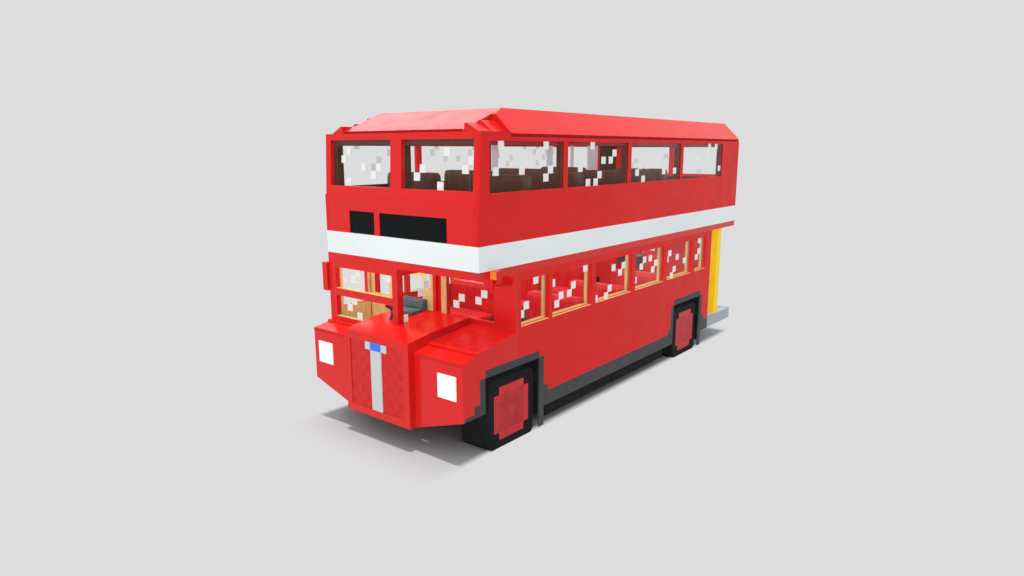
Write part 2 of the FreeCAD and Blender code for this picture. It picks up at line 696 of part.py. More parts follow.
def build_wings():
    """Front wings: a face, a rising top, an outer side over the arch and an inner valance."""
    front, step, skin = -dims.wing_front, -dims.wing_step_set, dims.skin
    face_foot = dims.wing_face_top - skin
    for name, sign in SIDES:
        crest = [
            (front, dims.wing_face_top),
            (front + dims.wing_brow_set, dims.wing_brow),
            (step, dims.wing_step_low),
            (step, dims.wing_step_high),
        ]
        if sign > 0:
            crest += [(dims.wing_shoulder_set, dims.wing_shoulder), (dims.bulkhead_set, dims.wing_rear)]
            side_foot = [(front, dims.trim_step), *nose_outline(), (dims.bulkhead_set, trim_top)]
        else:
            crest.append((0, dims.wing_step_high))
            side_foot = [(front, dims.trim_step), *nose_outline()[:3], (0, arch_top + dims.arch_lap)]
        rear = crest[-1][0]
        under = [
            (rear, crest[-1][1] - skin),
            *((along + skin, up - skin) for along, up in crest[-2:1:-1]),
            (front + skin, dims.wing_brow - skin),
        ]
        across = sided(sign, dims.nose_half, half)
        face_up = (dims.skirt_bottom, dims.wing_face_top)
        pieces = [
            block(f"wing_face_{name}", across, (front, front + skin), face_up),
            sheet_panel(
                f"wing_top_{name}",
                "YZ_Plane",
                [*crest, *under, (front + skin, face_foot), (front, face_foot)],
                *across,
            ),
            sheet_panel(
                f"wing_side_{name}",
                "YZ_Plane",
                [*side_foot, *under, (front, dims.wing_brow - skin)],
                *sided(sign, half - skin, half),
            ),
            sheet_panel(
                f"wing_valance_{name}",
                "YZ_Plane",
                [(front, dims.nose_trim), (rear, dims.nose_trim), *under, (front, dims.wing_brow - skin)],
                *sided(sign, dims.nose_half, dims.nose_half + skin),
            ),
        ]
        past = half + beyond
        low = dims.skirt_bottom - beyond
        taper = [
            (sign * dims.nose_half, low),
            (sign * dims.nose_half, dims.skirt_bottom),
            (sign * half, dims.nose_trim),
            (sign * past, dims.nose_trim),
            (sign * past, low),
        ]
        under_face = sheet_panel(f"wing_taper_{name}", "XZ_Plane", taper, front - beyond, front + 2 * skin)
        publish(cut(f"wing_{name}_shell", join(f"wing_whole_{name}", pieces), [under_face]), f"wing_{name}")


def build_housings():
    """Box housings over the four wheels, open below and outwards."""
    cases = []
    for end, axle, reach, long, foot in HOUSINGS:
        for name, sign in SIDES:
            outer = housing_block(f"housing_{end}_{name}", sign, axle, reach, long, foot)
            space = block(
                f"housing_space_{end}_{name}",
                sided(sign, reach + dims.housing_skin, half),
                (axle - long, axle + long),
                (0, dims.housing_top),
            )
            cases.append(cut(f"housing_{end}_{name}_case", outer, [space]))
    publish(join("housings", cases), "wheel_housings")


def housing_block(name, sign, axle, reach, long, foot):
    """A solid box as large as a wheel housing, from its foot up."""
    out = long + dims.housing_skin
    up = (foot, dims.housing_top + dims.housing_skin)
    return block(name, sided(sign, reach, inside), (axle - out, axle + out), up)


def housing_cuts(name):
    """Cutting boxes as large as the wheel housings, down to the ground."""
    return [
        housing_block(f"{name}_{end}_{side}", sign, axle, reach, long, size(0))
        for end, axle, reach, long, _ in HOUSINGS
        for side, sign in SIDES
    ]


def build_nose():
    """Radiator shell with its grille and the T-shaped bar on it, and the bonnet with its opening lid."""
    front = -dims.nose_reach
    slope = [(front, dims.nose_top), (dims.bonnet_start, dims.bonnet_front_top)]
    outline = [(front, dims.skirt_bottom), *slope, (dims.bonnet_start, dims.skirt_bottom)]
    across = (-dims.nose_half, dims.nose_half)
    mass = sheet_panel("nose_mass", "YZ_Plane", outline, *across)
    hollow = block(
        "nose_hollow",
        (-dims.nose_half + dims.nose_wall, dims.nose_half - dims.nose_wall),
        (front + dims.nose_wall, beyond),
        (0, dims.nose_top - dims.nose_wall),
    )
    opening = block(
        "grille_opening",
        (-dims.grille_half, dims.grille_half),
        (front - beyond, 0),
        (dims.grille_bottom, dims.grille_top),
    )
    publish(cut("nose_shell", mass, [hollow, opening]), "radiator_shell")
    set_in = front + dims.grille_set_in
    grille_across = (-dims.grille_half, dims.grille_half)
    grille_along = (set_in, front + dims.nose_wall)
    grille_up = (dims.grille_bottom, dims.grille_top)
    publish(block("grille_plate", grille_across, grille_along, grille_up), "radiator_grille")
    bar_up = (dims.grille_bottom, dims.badge_bottom)
    bar = block("grille_bar", (-dims.bar_half, dims.bar_half), (front, set_in), bar_up)
    badge_up = (dims.badge_bottom, dims.grille_top)
    row = block("badge_row", (-2 * dims.bar_half, 2 * dims.bar_half), (front, set_in), badge_up)
    publish(join("bar_and_row", [bar, row]), "radiator_bar")
    build_bonnet()


def bonnet_height(along):
    """Height of the bonnet's sloping top at a place along the bus."""
    rise = dims.bonnet_rear_top - dims.bonnet_front_top
    run = dims.bulkhead_set - dims.bonnet_start
    return dims.bonnet_front_top + rise * (along - dims.bonnet_start) / run


def bonnet_plate(name, across, along):
    """A strip of the bonnet's sloping top."""
    start, end = along
    outline = [
        (start, bonnet_height(start)),
        (end, bonnet_height(end)),
        (end, bonnet_height(end) - dims.bonnet_skin),
        (start, bonnet_height(start) - dims.bonnet_skin),
    ]
    return sheet_panel(name, "YZ_Plane", outline, *across)


def build_bonnet():
    """Fixed bonnet under the cab, and the nearside lid that lifts about its inner edge."""
    start, rear = dims.bonnet_start, dims.bulkhead_set
    seam = dims.lid_hinge_set - dims.play
    fixed = bonnet_plate("bonnet_fixed", (-dims.nose_half, seam), (start, rear))
    lid_end = dims.corner_panel_set - 2 * dims.play
    scuttle = bonnet_plate("bonnet_scuttle", (seam, dims.nose_half), (lid_end + dims.play, rear))
    side_outline = [
        (0, dims.trim_step),
        (rear, dims.trim_step),
        (rear, bonnet_height(rear)),
        (dims.wall, bonnet_height(dims.wall)),
        (dims.wall, dims.wing_step_high),
        (0, dims.wing_step_high),
    ]
    side_across = (-dims.nose_half - dims.skin, -dims.nose_half)
    side = sheet_panel("bonnet_side", "YZ_Plane", side_outline, *side_across)
    publish(join("bonnet_cowl_whole", [fixed, scuttle, side]), "bonnet_cowl")
    lid_start = start + dims.lid_gap
    top = bonnet_plate("lid_top", (dims.lid_hinge_set, dims.nose_half), (lid_start, lid_end))
    lift = dims.flange_lift
    flange = sheet_panel(
        "lid_flange",
        "YZ_Plane",
        [
            (lid_start, bonnet_height(lid_start)),
            (lid_end, bonnet_height(lid_end)),
            (lid_end, dims.wing_rear + lift),
            (dims.wing_shoulder_set, dims.wing_shoulder + lift),
            (lid_start, dims.wing_step_high + lift),
        ],
        dims.nose_half - dims.skin,
        dims.nose_half,
    )
    publish(join("bonnet_lid_whole", [top, flange]), "bonnet_lid")


def build_bulkhead():
    """Wall between the cab and bonnet and the lower saloon, with its windows and raised corner panel."""
    wall_along = (dims.bulkhead_set, dims.bulkhead_set + dims.wall)
    up = (dims.floor_top, dims.ledge_bottom)
    wall = block("bulkhead_wall", (-inside, inside), wall_along, up)
    panel_along = (dims.corner_panel_set, dims.bulkhead_set)
    panel_up = (dims.corner_panel_foot, dims.corner_panel_top)
    panel = block("corner_panel", (dims.corner_panel_in, half), panel_along, panel_up)
    corner_up = (dims.corner_panel_foot, dims.ledge_bottom)
    corner = block("corner_post", (inside, half), panel_along, corner_up)
    reach = (dims.corner_panel_set - dims.wall, dims.bulkhead_set + 2 * dims.wall)
    window_up = (dims.lower_sill, dims.lower_head)
    nearside = block("bulkhead_window", bulkhead_panes()[0], reach, window_up)
    offside = block("driver_window", bulkhead_panes()[1], reach, window_up)
    porch_up = (dims.corner_panel_top, dims.ledge_bottom)
    porch = block("porch_light", (dims.corner_panel_in + dims.wall, inside), reach, porch_up)
    whole = join("bulkhead_whole", [wall, panel, corner])
    openings = [nearside, offside, porch, *housing_cuts("bulkhead_housing")]
    publish(cut("bulkhead_panel", whole, openings), "bulkhead")


def bulkhead_panes():
    """The (low, high) pairs across of the bulkhead's nearside and offside windows."""
    return (
        (dims.bulkhead_window_in, dims.bulkhead_window_out),
        (-dims.screen_out, -dims.screen_in),
    )


def build_cab():
    """Cab over the offside wing: windscreen wall, nearside window frame, door, floor, seat and steering."""
    screen = (-dims.screen_out, -dims.screen_in)
    front_along = (0, dims.wall)
    reach = (-dims.wall, 2 * dims.wall)
    front = block("cab_front_wall", (-inside, 0), front_along, (dims.wing_step_high, dims.ledge_bottom))
    bonnet_up = (0, bonnet_height(dims.wall))
    openings = [
        block("screen_low", screen, reach, (dims.screen_low_sill, dims.screen_low_head)),
        block("screen_top", screen, reach, (dims.screen_top_sill, dims.lower_head)),
        block("screen_bonnet", (-dims.nose_half, beyond), reach, bonnet_up),
    ]
    screen_wall = cut("cab_screen_wall", front, openings)
    rail = dims.wall
    frame = [
        (rail, bonnet_height(rail)),
        (rail, dims.ledge_bottom),
        (dims.bulkhead_set, dims.ledge_bottom),
        (dims.bulkhead_set, bonnet_height(dims.bulkhead_set)),
        (dims.cab_window_end, bonnet_height(dims.cab_window_end)),
        (dims.cab_window_end, dims.lower_head),
        (dims.cab_post, dims.lower_head),
        (dims.cab_post, bonnet_height(dims.cab_post)),
    ]
    side = sheet_panel("cab_side_frame", "YZ_Plane", frame, -dims.wall, size(0))
    publish(join("cab_frame_whole", [screen_wall, side]), "cab_frame")
    floor_up = (dims.housing_top + dims.housing_skin, dims.door_bottom - dims.play)
    floor_across = (-inside, -dims.nose_half - dims.skin)
    publish(block("cab_floor_plate", floor_across, (dims.wall, dims.bulkhead_set), floor_up), "cab_floor")
    build_cab_door()
    seat = [
        (dims.seat_front, bonnet_height(dims.seat_front)),
        (dims.seat_back_end, bonnet_height(dims.seat_back_end)),
        (dims.seat_back_end, dims.seat_back_top),
        (dims.seat_back_set, dims.seat_back_top),
        (dims.seat_back_set, dims.seat_top),
        (dims.seat_front, dims.seat_top),
    ]
    seat_across = (-dims.seat_in - dims.seat_wide, -dims.seat_in)
    publish(sheet_panel("driver_seat_block", "YZ_Plane", seat, *seat_across), "driver_seat")
    build_steering_wheel()


def build_cab_door():
    """Cab door in the offside wall, hinged at its rear edge, with a window and its glass."""
    across = (-half, -inside)
    along = (dims.door_start + dims.play, dims.door_end - dims.play)
    up = (dims.door_bottom + dims.play, dims.lower_head)
    leaf = block("door_leaf", across, along, up)
    light_along = (along[0] + dims.door_rail, along[1] - dims.door_rail)
    light_up = (dims.lower_sill, up[1] - dims.door_rail)
    light = block("door_light", (-half - dims.wall, -inside + dims.wall), light_along, light_up)
    publish(cut("cab_door_leaf", leaf, [light]), "cab_door")
    publish(block("door_pane", (-pane_in - dims.pane, -pane_in), light_along, light_up), "cab_door_glass")


def build_steering_wheel():
    """Steering wheel: a rim, a cross bar and a leaning column that ends on the bonnet."""
    lean = FreeCAD.Rotation(FreeCAD.Vector(1, 0, 0), -dims.steering_tilt.number)
    rim = document.addObject("Part::Torus", "steering_rim")
    bind(rim, "Radius1", dims.steering_radius)
    bind(rim, "Radius2", dims.steering_rim)
    rim.Placement.Rotation = lean
    column = document.addObject("Part::Cylinder", "steering_column")
    bind(column, "Radius", dims.steering_column)
    bind(column, "Height", dims.column_long)
    column.Placement.Rotation = lean * FreeCAD.Rotation(FreeCAD.Vector(1, 0, 0), 180)
    bar = document.addObject("Part::Cylinder", "steering_bar")
    bind(bar, "Radius", dims.steering_rim / 2)
    bind(bar, "Height", 2 * dims.steering_radius)
    bar.Placement.Rotation = FreeCAD.Rotation(FreeCAD.Vector(0, 1, 0), 90)
    for piece, start in ((rim, size(0)), (column, size(0)), (bar, -dims.steering_radius)):
        bind(piece, ".Placement.Base.x", start - dims.steering_in)
        bind(piece, ".Placement.Base.y", dims.steering_set - middle)
        bind(piece, ".Placement.Base.z", dims.steering_height)
    cowl = next(piece for piece in finished if piece.Label == "bonnet_cowl")
    whole = join("steering_whole", [rim, column, bar])
    publish(cut("steering_on_cowl", whole, [cowl]), "steering_wheel")


def build_chassis():
    """Ladder chassis with its cross members, jacking pads and platform hangers; and the engine."""
    rail_up = (rail_bottom, dims.floor_top - dims.floor_thickness)
    rail_outer = dims.rail_inner + dims.rail_wide
    nose = -dims.nose_reach + 2 * dims.nose_wall
    pieces = []
    for name, sign in SIDES:
        across = sided(sign, dims.rail_inner, rail_outer)
        pieces.append(block(f"rail_{name}", across, (nose, saloon_end), rail_up))
        hanger = (saloon_end - dims.wall, saloon_end)
        pieces.append(block(f"hanger_{name}", across, hanger, (dims.skirt_bottom, rail_bottom)))
        pad_up = (rail_bottom - dims.pad_deep, rail_bottom)
        for index, start in enumerate(PAD_STARTS):
            pad_along = (start, start + dims.pad_long)
            pieces.append(block(f"jacking_pad_{name}_{index}", across, pad_along, pad_up))
    reach = (-dims.member_reach, dims.member_reach)
    for index, start in enumerate(MEMBER_STARTS):
        along = (start, start + dims.member_long)
        pieces.append(block(f"member_{index}", reach, along, (dims.member_bottom, rail_up[1])))
    front_reach = (-dims.nose_half + dims.nose_wall, dims.nose_half - dims.nose_wall)
    pieces.append(block("front_member", front_reach, (nose, nose + dims.member_long), rail_up))
    publish(join("chassis_whole", pieces), "chassis_frame")
    engine_along = (dims.engine_front, dims.engine_front + dims.engine_long)
    engine_across = (-dims.rail_inner, dims.rail_inner)
    engine_up = (rail_bottom, dims.engine_top)
    publish(block("engine_mass", engine_across, engine_along, engine_up), "engine_block")


def build_platform():
    """Open rear platform with its towing eye and pole, the saloon's rear wall and the staircase."""
    end = dims.body_length
    up = (dims.skirt_bottom, dims.skirt_top)
    slab = block("platform_slab", (dims.skin - half, half), (saloon_end, end), up)
    eye_up = (dims.skirt_bottom - dims.eye_plate, dims.skirt_bottom)
    plate = block("eye_plate", (-dims.eye_wide / 2, dims.eye_wide / 2), (end - dims.eye_long, end), eye_up)
    bore_up = (dims.skirt_bottom - beyond, dims.skirt_bottom + beyond)
    bore = post("eye_bore", (0, end - dims.eye_wide / 2), bore_up, dims.eye_bore)
    publish(join("platform_and_eye", [slab, cut("eye", plate, [bore])]), "platform")
    pole_across = (dims.pole_out - dims.pole_size, dims.pole_out)
    pole_along = (saloon_end + dims.pole_set, saloon_end + dims.pole_set + dims.pole_size)
    publish(block("pole", pole_across, pole_along, (dims.skirt_top, dims.ledge_bottom)), "platform_pole")
    wall_along = (saloon_end - dims.wall, saloon_end)
    wall = block("partition_wall", (-inside, inside), wall_along, (dims.floor_top, dims.ledge_bottom))
    reach = (saloon_end - 2 * dims.wall, saloon_end + dims.wall)
    doorway = block(
        "partition_door", (-dims.doorway_wide, 0), reach, (dims.floor_top - beyond, dims.lower_head)
    )
    light_up = (dims.partition_sill, dims.lower_head)
    light = block("partition_light", (dims.wall, dims.partition_edge), reach, light_up)
    publish(cut("rear_partition_wall", wall, [doorway, light]), "rear_partition")
    build_stairs()


def build_stairs():
    """Two flights from the platform to the upper floor, turning on a landing in the offside rear corner."""
    rear = dims.body_length - dims.wall - dims.stair_gap
    tread = (dims.stair_edge - dims.stair_turn) / LOWER_STEPS
    rise = (dims.landing_top - dims.skirt_top) / LOWER_STEPS
    outline = [(dims.stair_edge, dims.skirt_top)]
    for step in range(LOWER_STEPS):
        top = dims.skirt_top + rise * (step + 1)
        outline += [(dims.stair_edge - tread * step, top), (dims.stair_edge - tread * (step + 1), top)]
    outline.pop()
    outline += [
        (-inside, dims.landing_top),
        (-inside, dims.landing_top - dims.stair_plate),
        (dims.stair_turn + tread, dims.landing_top - dims.stair_plate - rise),
        (dims.stair_edge - tread, dims.skirt_top),
    ]
    lower = sheet_panel("stairs_lower", "XZ_Plane", outline[::-1], rear - dims.stair_depth, rear)
    turn = rear - dims.stair_depth
    rise = (dims.band_bottom - dims.landing_top) / UPPER_STEPS
    tread = (turn - saloon_end - dims.stair_gap) / UPPER_STEPS
    outline = [(turn, dims.landing_top - dims.stair_plate), (turn, dims.landing_top + rise)]
    for step in range(1, UPPER_STEPS):
        place = turn - tread * step
        outline += [(place, dims.landing_top + rise * step), (place, dims.landing_top + rise * (step + 1))]
    end = turn - tread * UPPER_STEPS
    outline += [(end, dims.band_bottom), (end, dims.band_bottom - rise)]
    upper = sheet_panel("stairs_upper", "YZ_Plane", outline, -inside, dims.stair_turn - dims.stair_gap)
    publish(join("stairs", [lower, upper]), "staircase")


def build_floor_and_seats():
    """Lower saloon floor cut round the wheel housings, and the double seats of both decks."""
    up = (dims.floor_top - dims.floor_thickness, dims.floor_top)
    slab = block("saloon_floor", (-inside, inside), (dims.bulkhead_set, saloon_end), up)
    publish(cut("saloon_floor_plate", slab, housing_cuts("floor_housing")), "lower_floor")
    lower = (dims.floor_top, dims.bench_base, dims.bench_top, dims.bench_back)
    upper = (dims.band_bottom, dims.upper_bench_base, dims.upper_bench_top, dims.upper_bench_back)
    build_seats("lower_seats", BENCH_BACKS, *lower)
    build_seats("upper_seats", UPPER_BENCH_BACKS, *upper)


def build_seats(label, backs, floor, base, top, back_top):
    """Double seats on both sides of a deck's aisle: a cushion, a back and a leg under the back."""
    benches = []
    for name, sign in SIDES:
        across = sided(sign, dims.bench_in, dims.bench_out)
        leg_across = sided(sign, dims.bench_in, dims.bench_in + dims.leg_wide)
        for index, start in enumerate(backs):
            key = f"{label}_{name}_{index}"
            end = start + dims.bench_thick
            cushion = block(f"{key}_cushion", across, (start - dims.bench_long, end), (base, top))
            back = block(f"{key}_back", across, (start, end), (base, back_top))
            leg = block(f"{key}_leg", leg_across, (start, end), (floor, base))
            benches.append(join(key, [cushion, back, leg]))
    publish(join(f"{label}_whole", benches), label)


def build_glass():
    """Fixed panes of the lower and upper decks, set back from the outer faces of the walls round them."""
    up = (dims.lower_sill, dims.lower_head)
    recess, thick = dims.pane_recess, dims.pane
    lower = side_panes("lower_pane", LOWER_WINDOWS[1:], up)
    first = window_cuts("first_pane", LOWER_WINDOWS[:1], sided(1, pane_in, pane_in + thick), up)
    screen = (-dims.screen_out, -dims.screen_in)
    along = (recess, recess + thick)
    low_screen = block("screen_low_pane", screen, along, (dims.screen_low_sill, dims.screen_low_head))
    bonnet_up = (0, bonnet_height(dims.wall))
    bonnet_tool = block("pane_bonnet", (-dims.nose_half, beyond), (0, dims.wall), bonnet_up)
    lower += first
    lower.append(cut("screen_low_glass", low_screen, [bonnet_tool]))
    lower.append(block("screen_top_pane", screen, along, (dims.screen_top_sill, dims.lower_head)))
    side_outline = [
        (dims.cab_post, bonnet_height(dims.cab_post)),
        (dims.cab_post, dims.lower_head),
        (dims.cab_window_end, dims.lower_head),
        (dims.cab_window_end, bonnet_height(dims.cab_window_end)),
    ]
    lower.append(sheet_panel("cab_side_pane", "YZ_Plane", side_outline, -recess - thick, -recess))
    behind = dims.bulkhead_set + recess
    for index, across in enumerate(bulkhead_panes()):
        lower.append(block(f"bulkhead_pane_{index}", across, (behind, behind + thick), up))
    rear = dims.body_length - recess
    rear_across = (-dims.rear_window_out, -dims.rear_window_in)
    lower.append(block("rear_pane", rear_across, (rear - thick, rear), up))
    publish(join("lower_panes", lower), "lower_glass")
    upper = side_panes("upper_pane", UPPER_WINDOWS, (dims.upper_sill, dims.upper_head))
    for name, sign in SIDES:
        outline = [
            (wall_lean(dims.front_sill) + recess, dims.front_sill),
            (wall_lean(dims.front_head) + recess, dims.front_head),
            (wall_lean(dims.front_head) + recess + thick, dims.front_head),
            (wall_lean(dims.front_sill) + recess + thick, dims.front_sill),
        ]
        across = sided(sign, dims.front_window_in, dims.front_window_out)
        upper.append(sheet_panel(f"front_pane_{name}", "YZ_Plane", outline, *across))
    publish(join("upper_panes", upper), "upper_glass")


def side_panes(name, windows, up):
    """Panes of a row of side windows, on both sides."""
    panes = []
    for side, sign in SIDES:
        across = sided(sign, pane_in, pane_in + dims.pane)
        panes += window_cuts(f"{name}_{side}", windows, across, up)
    return panes


def wall_lean(up):
    """Set-back of the leaning front wall's outer face at a height."""
    rise = (up - dims.lean_start) / (dims.wall_top - dims.lean_start)
    return dims.lean_foot + (dims.lean_head - dims.lean_foot) * rise


def build_lamps():
    """Square headlamps, the nearside indicator box, and the offside mirror housing."""
    front = -dims.wing_front
    lamps = [
        block(
            f"headlamp_{name}",
            sided(sign, dims.lamp_in, dims.lamp_in + dims.lamp_size),
            (front - dims.lamp_proud, front),
            (dims.lamp_bottom, dims.lamp_bottom + dims.lamp_size),
        )
        for name, sign in SIDES
    ]
    publish(join("headlamp_pair", lamps), "headlamps")
    across = (half, half + dims.side_box)
    start = dims.indicator_set
    up = (dims.ledge_bottom, dims.band_bottom)
    publish(block("indicator_box", across, (start, start + dims.side_box), up), "indicator")
    mirror_along = (-dims.mirror_lead, dims.side_box - dims.mirror_lead)
    mirror_up = (dims.mirror_bottom, dims.mirror_bottom + dims.mirror_high)
    mirror_across = (-half - dims.side_box, -half)
    publish(block("mirror_box", mirror_across, mirror_along, mirror_up), "offside_mirror")


def wheel_outline(axle):
    """A square wheel with chamfered corners, as (along, up) pairs."""
    reach, corner = dims.wheel_size / 2, dims.wheel_corner
    near = reach - corner
    turns = ((near, reach), (reach, near), (reach, -near), (near, -reach))
    turns += ((-near, -reach), (-reach, -near), (-reach, near), (-near, reach))
    return [(axle + along, hub_height + up) for along, up in turns]


def hub_outline(axle, gap):
    """The hub's stepped face: a square with a square bite out of each corner, grown by a gap."""
    reach = dims.hub_size / 2 + gap
    near = reach - dims.hub_step
    turns = ((near, reach), (near, near), (reach, near), (reach, -near), (near, -near), (near, -reach))
    turns += tuple((-along, -up) for along, up in turns)
    return [(axle + along, hub_height + up) for along, up in turns]


def build_wheel(name, sign, axle, tyres, boss_length):
    """One wheel: its tyres, each (inner, outer) across, and a hub whose boss turns on the stub axle."""
    face = wheel_outer - dims.hub_depth
    treads = []
    for index, (low, high) in enumerate(tyres):
        outline = wheel_outline(axle)
        treads.append(sheet_panel(f"tread_{name}_{index}", "YZ_Plane", outline, *sided(sign, low, high)))
    hollow = rod(f"cavity_{name}", (axle, hub_height), sided(sign, 0, face), dims.cavity_radius)
    seat_across = sided(sign, face, half + beyond)
    seat = sheet_panel(f"hub_seat_{name}", "YZ_Plane", hub_outline(axle, size(0)), *seat_across)
    block_tread = join(f"treads_{name}", treads) if len(treads) > 1 else treads[0]
    publish(cut(f"tyre_{name}_ring", block_tread, [hollow, seat]), f"tyre_{name}")
    disc_across = sided(sign, face, wheel_outer - dims.hub_set_in)
    disc = sheet_panel(f"hub_disc_{name}", "YZ_Plane", hub_outline(axle, size(0)), *disc_across)
    parts = [disc]
    if len(tyres) > 1:
        drum_across = sided(sign, tyres[0][0], face)
        drum = rod(f"drum_{name}", (axle, hub_height), drum_across, dims.cavity_radius)
        space = rod(f"drum_space_{name}", (axle, hub_height), drum_across, dims.cavity_radius - dims.skin)
        parts.append(cut(f"drum_{name}_ring", drum, [space]))
    boss_across = sided(sign, face - boss_length, face)
    parts.append(rod(f"boss_{name}", (axle, hub_height), boss_across, dims.boss_radius))
    bore_across = sided(sign, face - boss_length, face)
    bore = rod(f"bore_{name}", (axle, hub_height), bore_across, dims.stub_radius + dims.bore_gap)
    publish(cut(f"hub_{name}_solid", join(f"hub_parts_{name}", parts), [bore]), f"hub_{name}")


def build_running_gear():
    """Wheels, the front axle with its steering knuckles, and the rear axle."""
    twin = (dims.wheel_width - dims.twin_gap) / 2
    single = ((wheel_inner, wheel_outer),)
    pair = ((wheel_inner, wheel_inner + twin), (wheel_outer - twin, wheel_outer))
    spring = (dims.rail_inner, dims.rail_inner + dims.rail_wide)
    face = wheel_outer - dims.hub_depth
    stub_end = face - dims.play
    knuckle_half = dims.knuckle_width / 2
    beam_half, depth_half = dims.axle_height / 2, dims.axle_depth / 2
    along = (front_axle - depth_half, front_axle + depth_half)
    web_in = king_pin - knuckle_half - dims.play - dims.lug
    reach = dims.knuckle_height / 2 + dims.play
    beam_up = (hub_height - beam_half, hub_height + beam_half)
    front = [block("front_beam", (-web_in, web_in), along, beam_up)]
    rear = [rod("rear_tube", (rear_axle, hub_height), (-stub_end, stub_end), dims.stub_radius)]
    inner_stub = face - dims.rear_boss_length - dims.play
    rear.append(rod("rear_sleeve", (rear_axle, hub_height), (-inner_stub, inner_stub), dims.rear_axle_radius))
    case_across = (-dims.case_width / 2, dims.case_width / 2)
    rear.append(rod("final_drive", (rear_axle, hub_height), case_across, dims.case_radius))
    for name, sign in SIDES:
        build_wheel(f"front_{name}", sign, front_axle, single, dims.boss_length)
        build_wheel(f"rear_{name}", sign, rear_axle, pair, dims.rear_boss_length)
        lug_up = (hub_height - reach - dims.lug, hub_height + reach + dims.lug)
        web = block(f"web_{name}", sided(sign, web_in, web_in + dims.lug), along, lug_up)
        fork_across = sided(sign, web_in, king_pin)
        centre = (sign * king_pin, front_axle)
        for key, low in (("lower", hub_height - reach - dims.lug), ("upper", hub_height + reach)):
            front.append(block(f"lug_{key}_{name}", fork_across, along, (low, low + dims.lug)))
            front.append(post(f"lug_end_{key}_{name}", centre, (low, low + dims.lug), depth_half))
        front += [web, post(f"king_pin_{name}", centre, lug_up, dims.king_pin_radius)]
        seat_up = (hub_height + beam_half, rail_bottom)
        front.append(block(f"front_spring_{name}", sided(sign, *spring), along, seat_up))
        rear_seat = (rear_axle - depth_half, rear_axle + depth_half)
        rear_seat_up = (hub_height, rail_bottom)
        rear.append(block(f"rear_spring_{name}", sided(sign, *spring), rear_seat, rear_seat_up))
        build_knuckle(name, sign, knuckle_half, stub_end)
    publish(join("front_axle_whole", front), "front_axle")
    publish(join("rear_axle_whole", rear), "rear_axle")


def build_knuckle(name, sign, knuckle_half, stub_end):
    """A steering knuckle on its king pin, with the stub axle that carries the front wheel."""
    up = (hub_height - dims.knuckle_height / 2, hub_height + dims.knuckle_height / 2)
    centre = (sign * king_pin, front_axle)
    body = post(f"knuckle_body_{name}", centre, up, knuckle_half)
    stub_across = sided(sign, king_pin, stub_end)
    stub = rod(f"stub_{name}", (front_axle, hub_height), stub_across, dims.stub_radius)
    bore = post(f"pin_bore_{name}", centre, up, dims.king_pin_radius + dims.bore_gap)
    whole = join(f"knuckle_whole_{name}", [body, stub])
    publish(cut(f"knuckle_{name}_solid", whole, [bore]), f"knuckle_{name}")


def write_parts():
    """Checks every object and writes each finished sub-part to its own STEP file."""
    document.recompute()
    for thing in document.Objects:
        if {"Invalid", "Error"} & set(thing.State):
            raise RuntimeError(f"{thing.Name} did not build")
    os.makedirs("parts", exist_ok=True)
    for piece in finished:
        if piece.Shape.isNull() or not piece.Shape.isValid() or not piece.Shape.Solids:
            raise RuntimeError(f"{piece.Label} has no valid solid")
        piece.Shape.exportStep(os.path.join("parts", f"{piece.Label}.step"))


build_skirts()
build_lower_sides()
build_upper_sides()
build_upper_front()
build_bands()
build_rear()
build_roof()
build_wings()
build_housings()
build_nose()
build_bulkhead()
build_cab()
build_chassis()
build_platform()
build_floor_and_seats()
build_glass()
build_lamps()
build_running_gear()
write_parts()
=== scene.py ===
"""Half-cab double decker bus: its finishes, glazing marks, seats, linings, trim and studio.

Lengths are in metres. The frame has +Z up, the front of the bus towards -Y and its nearside towards +X. A
span is a low and a high place along one axis, and a shape is a pair of points and faces.
"""

import json
import math

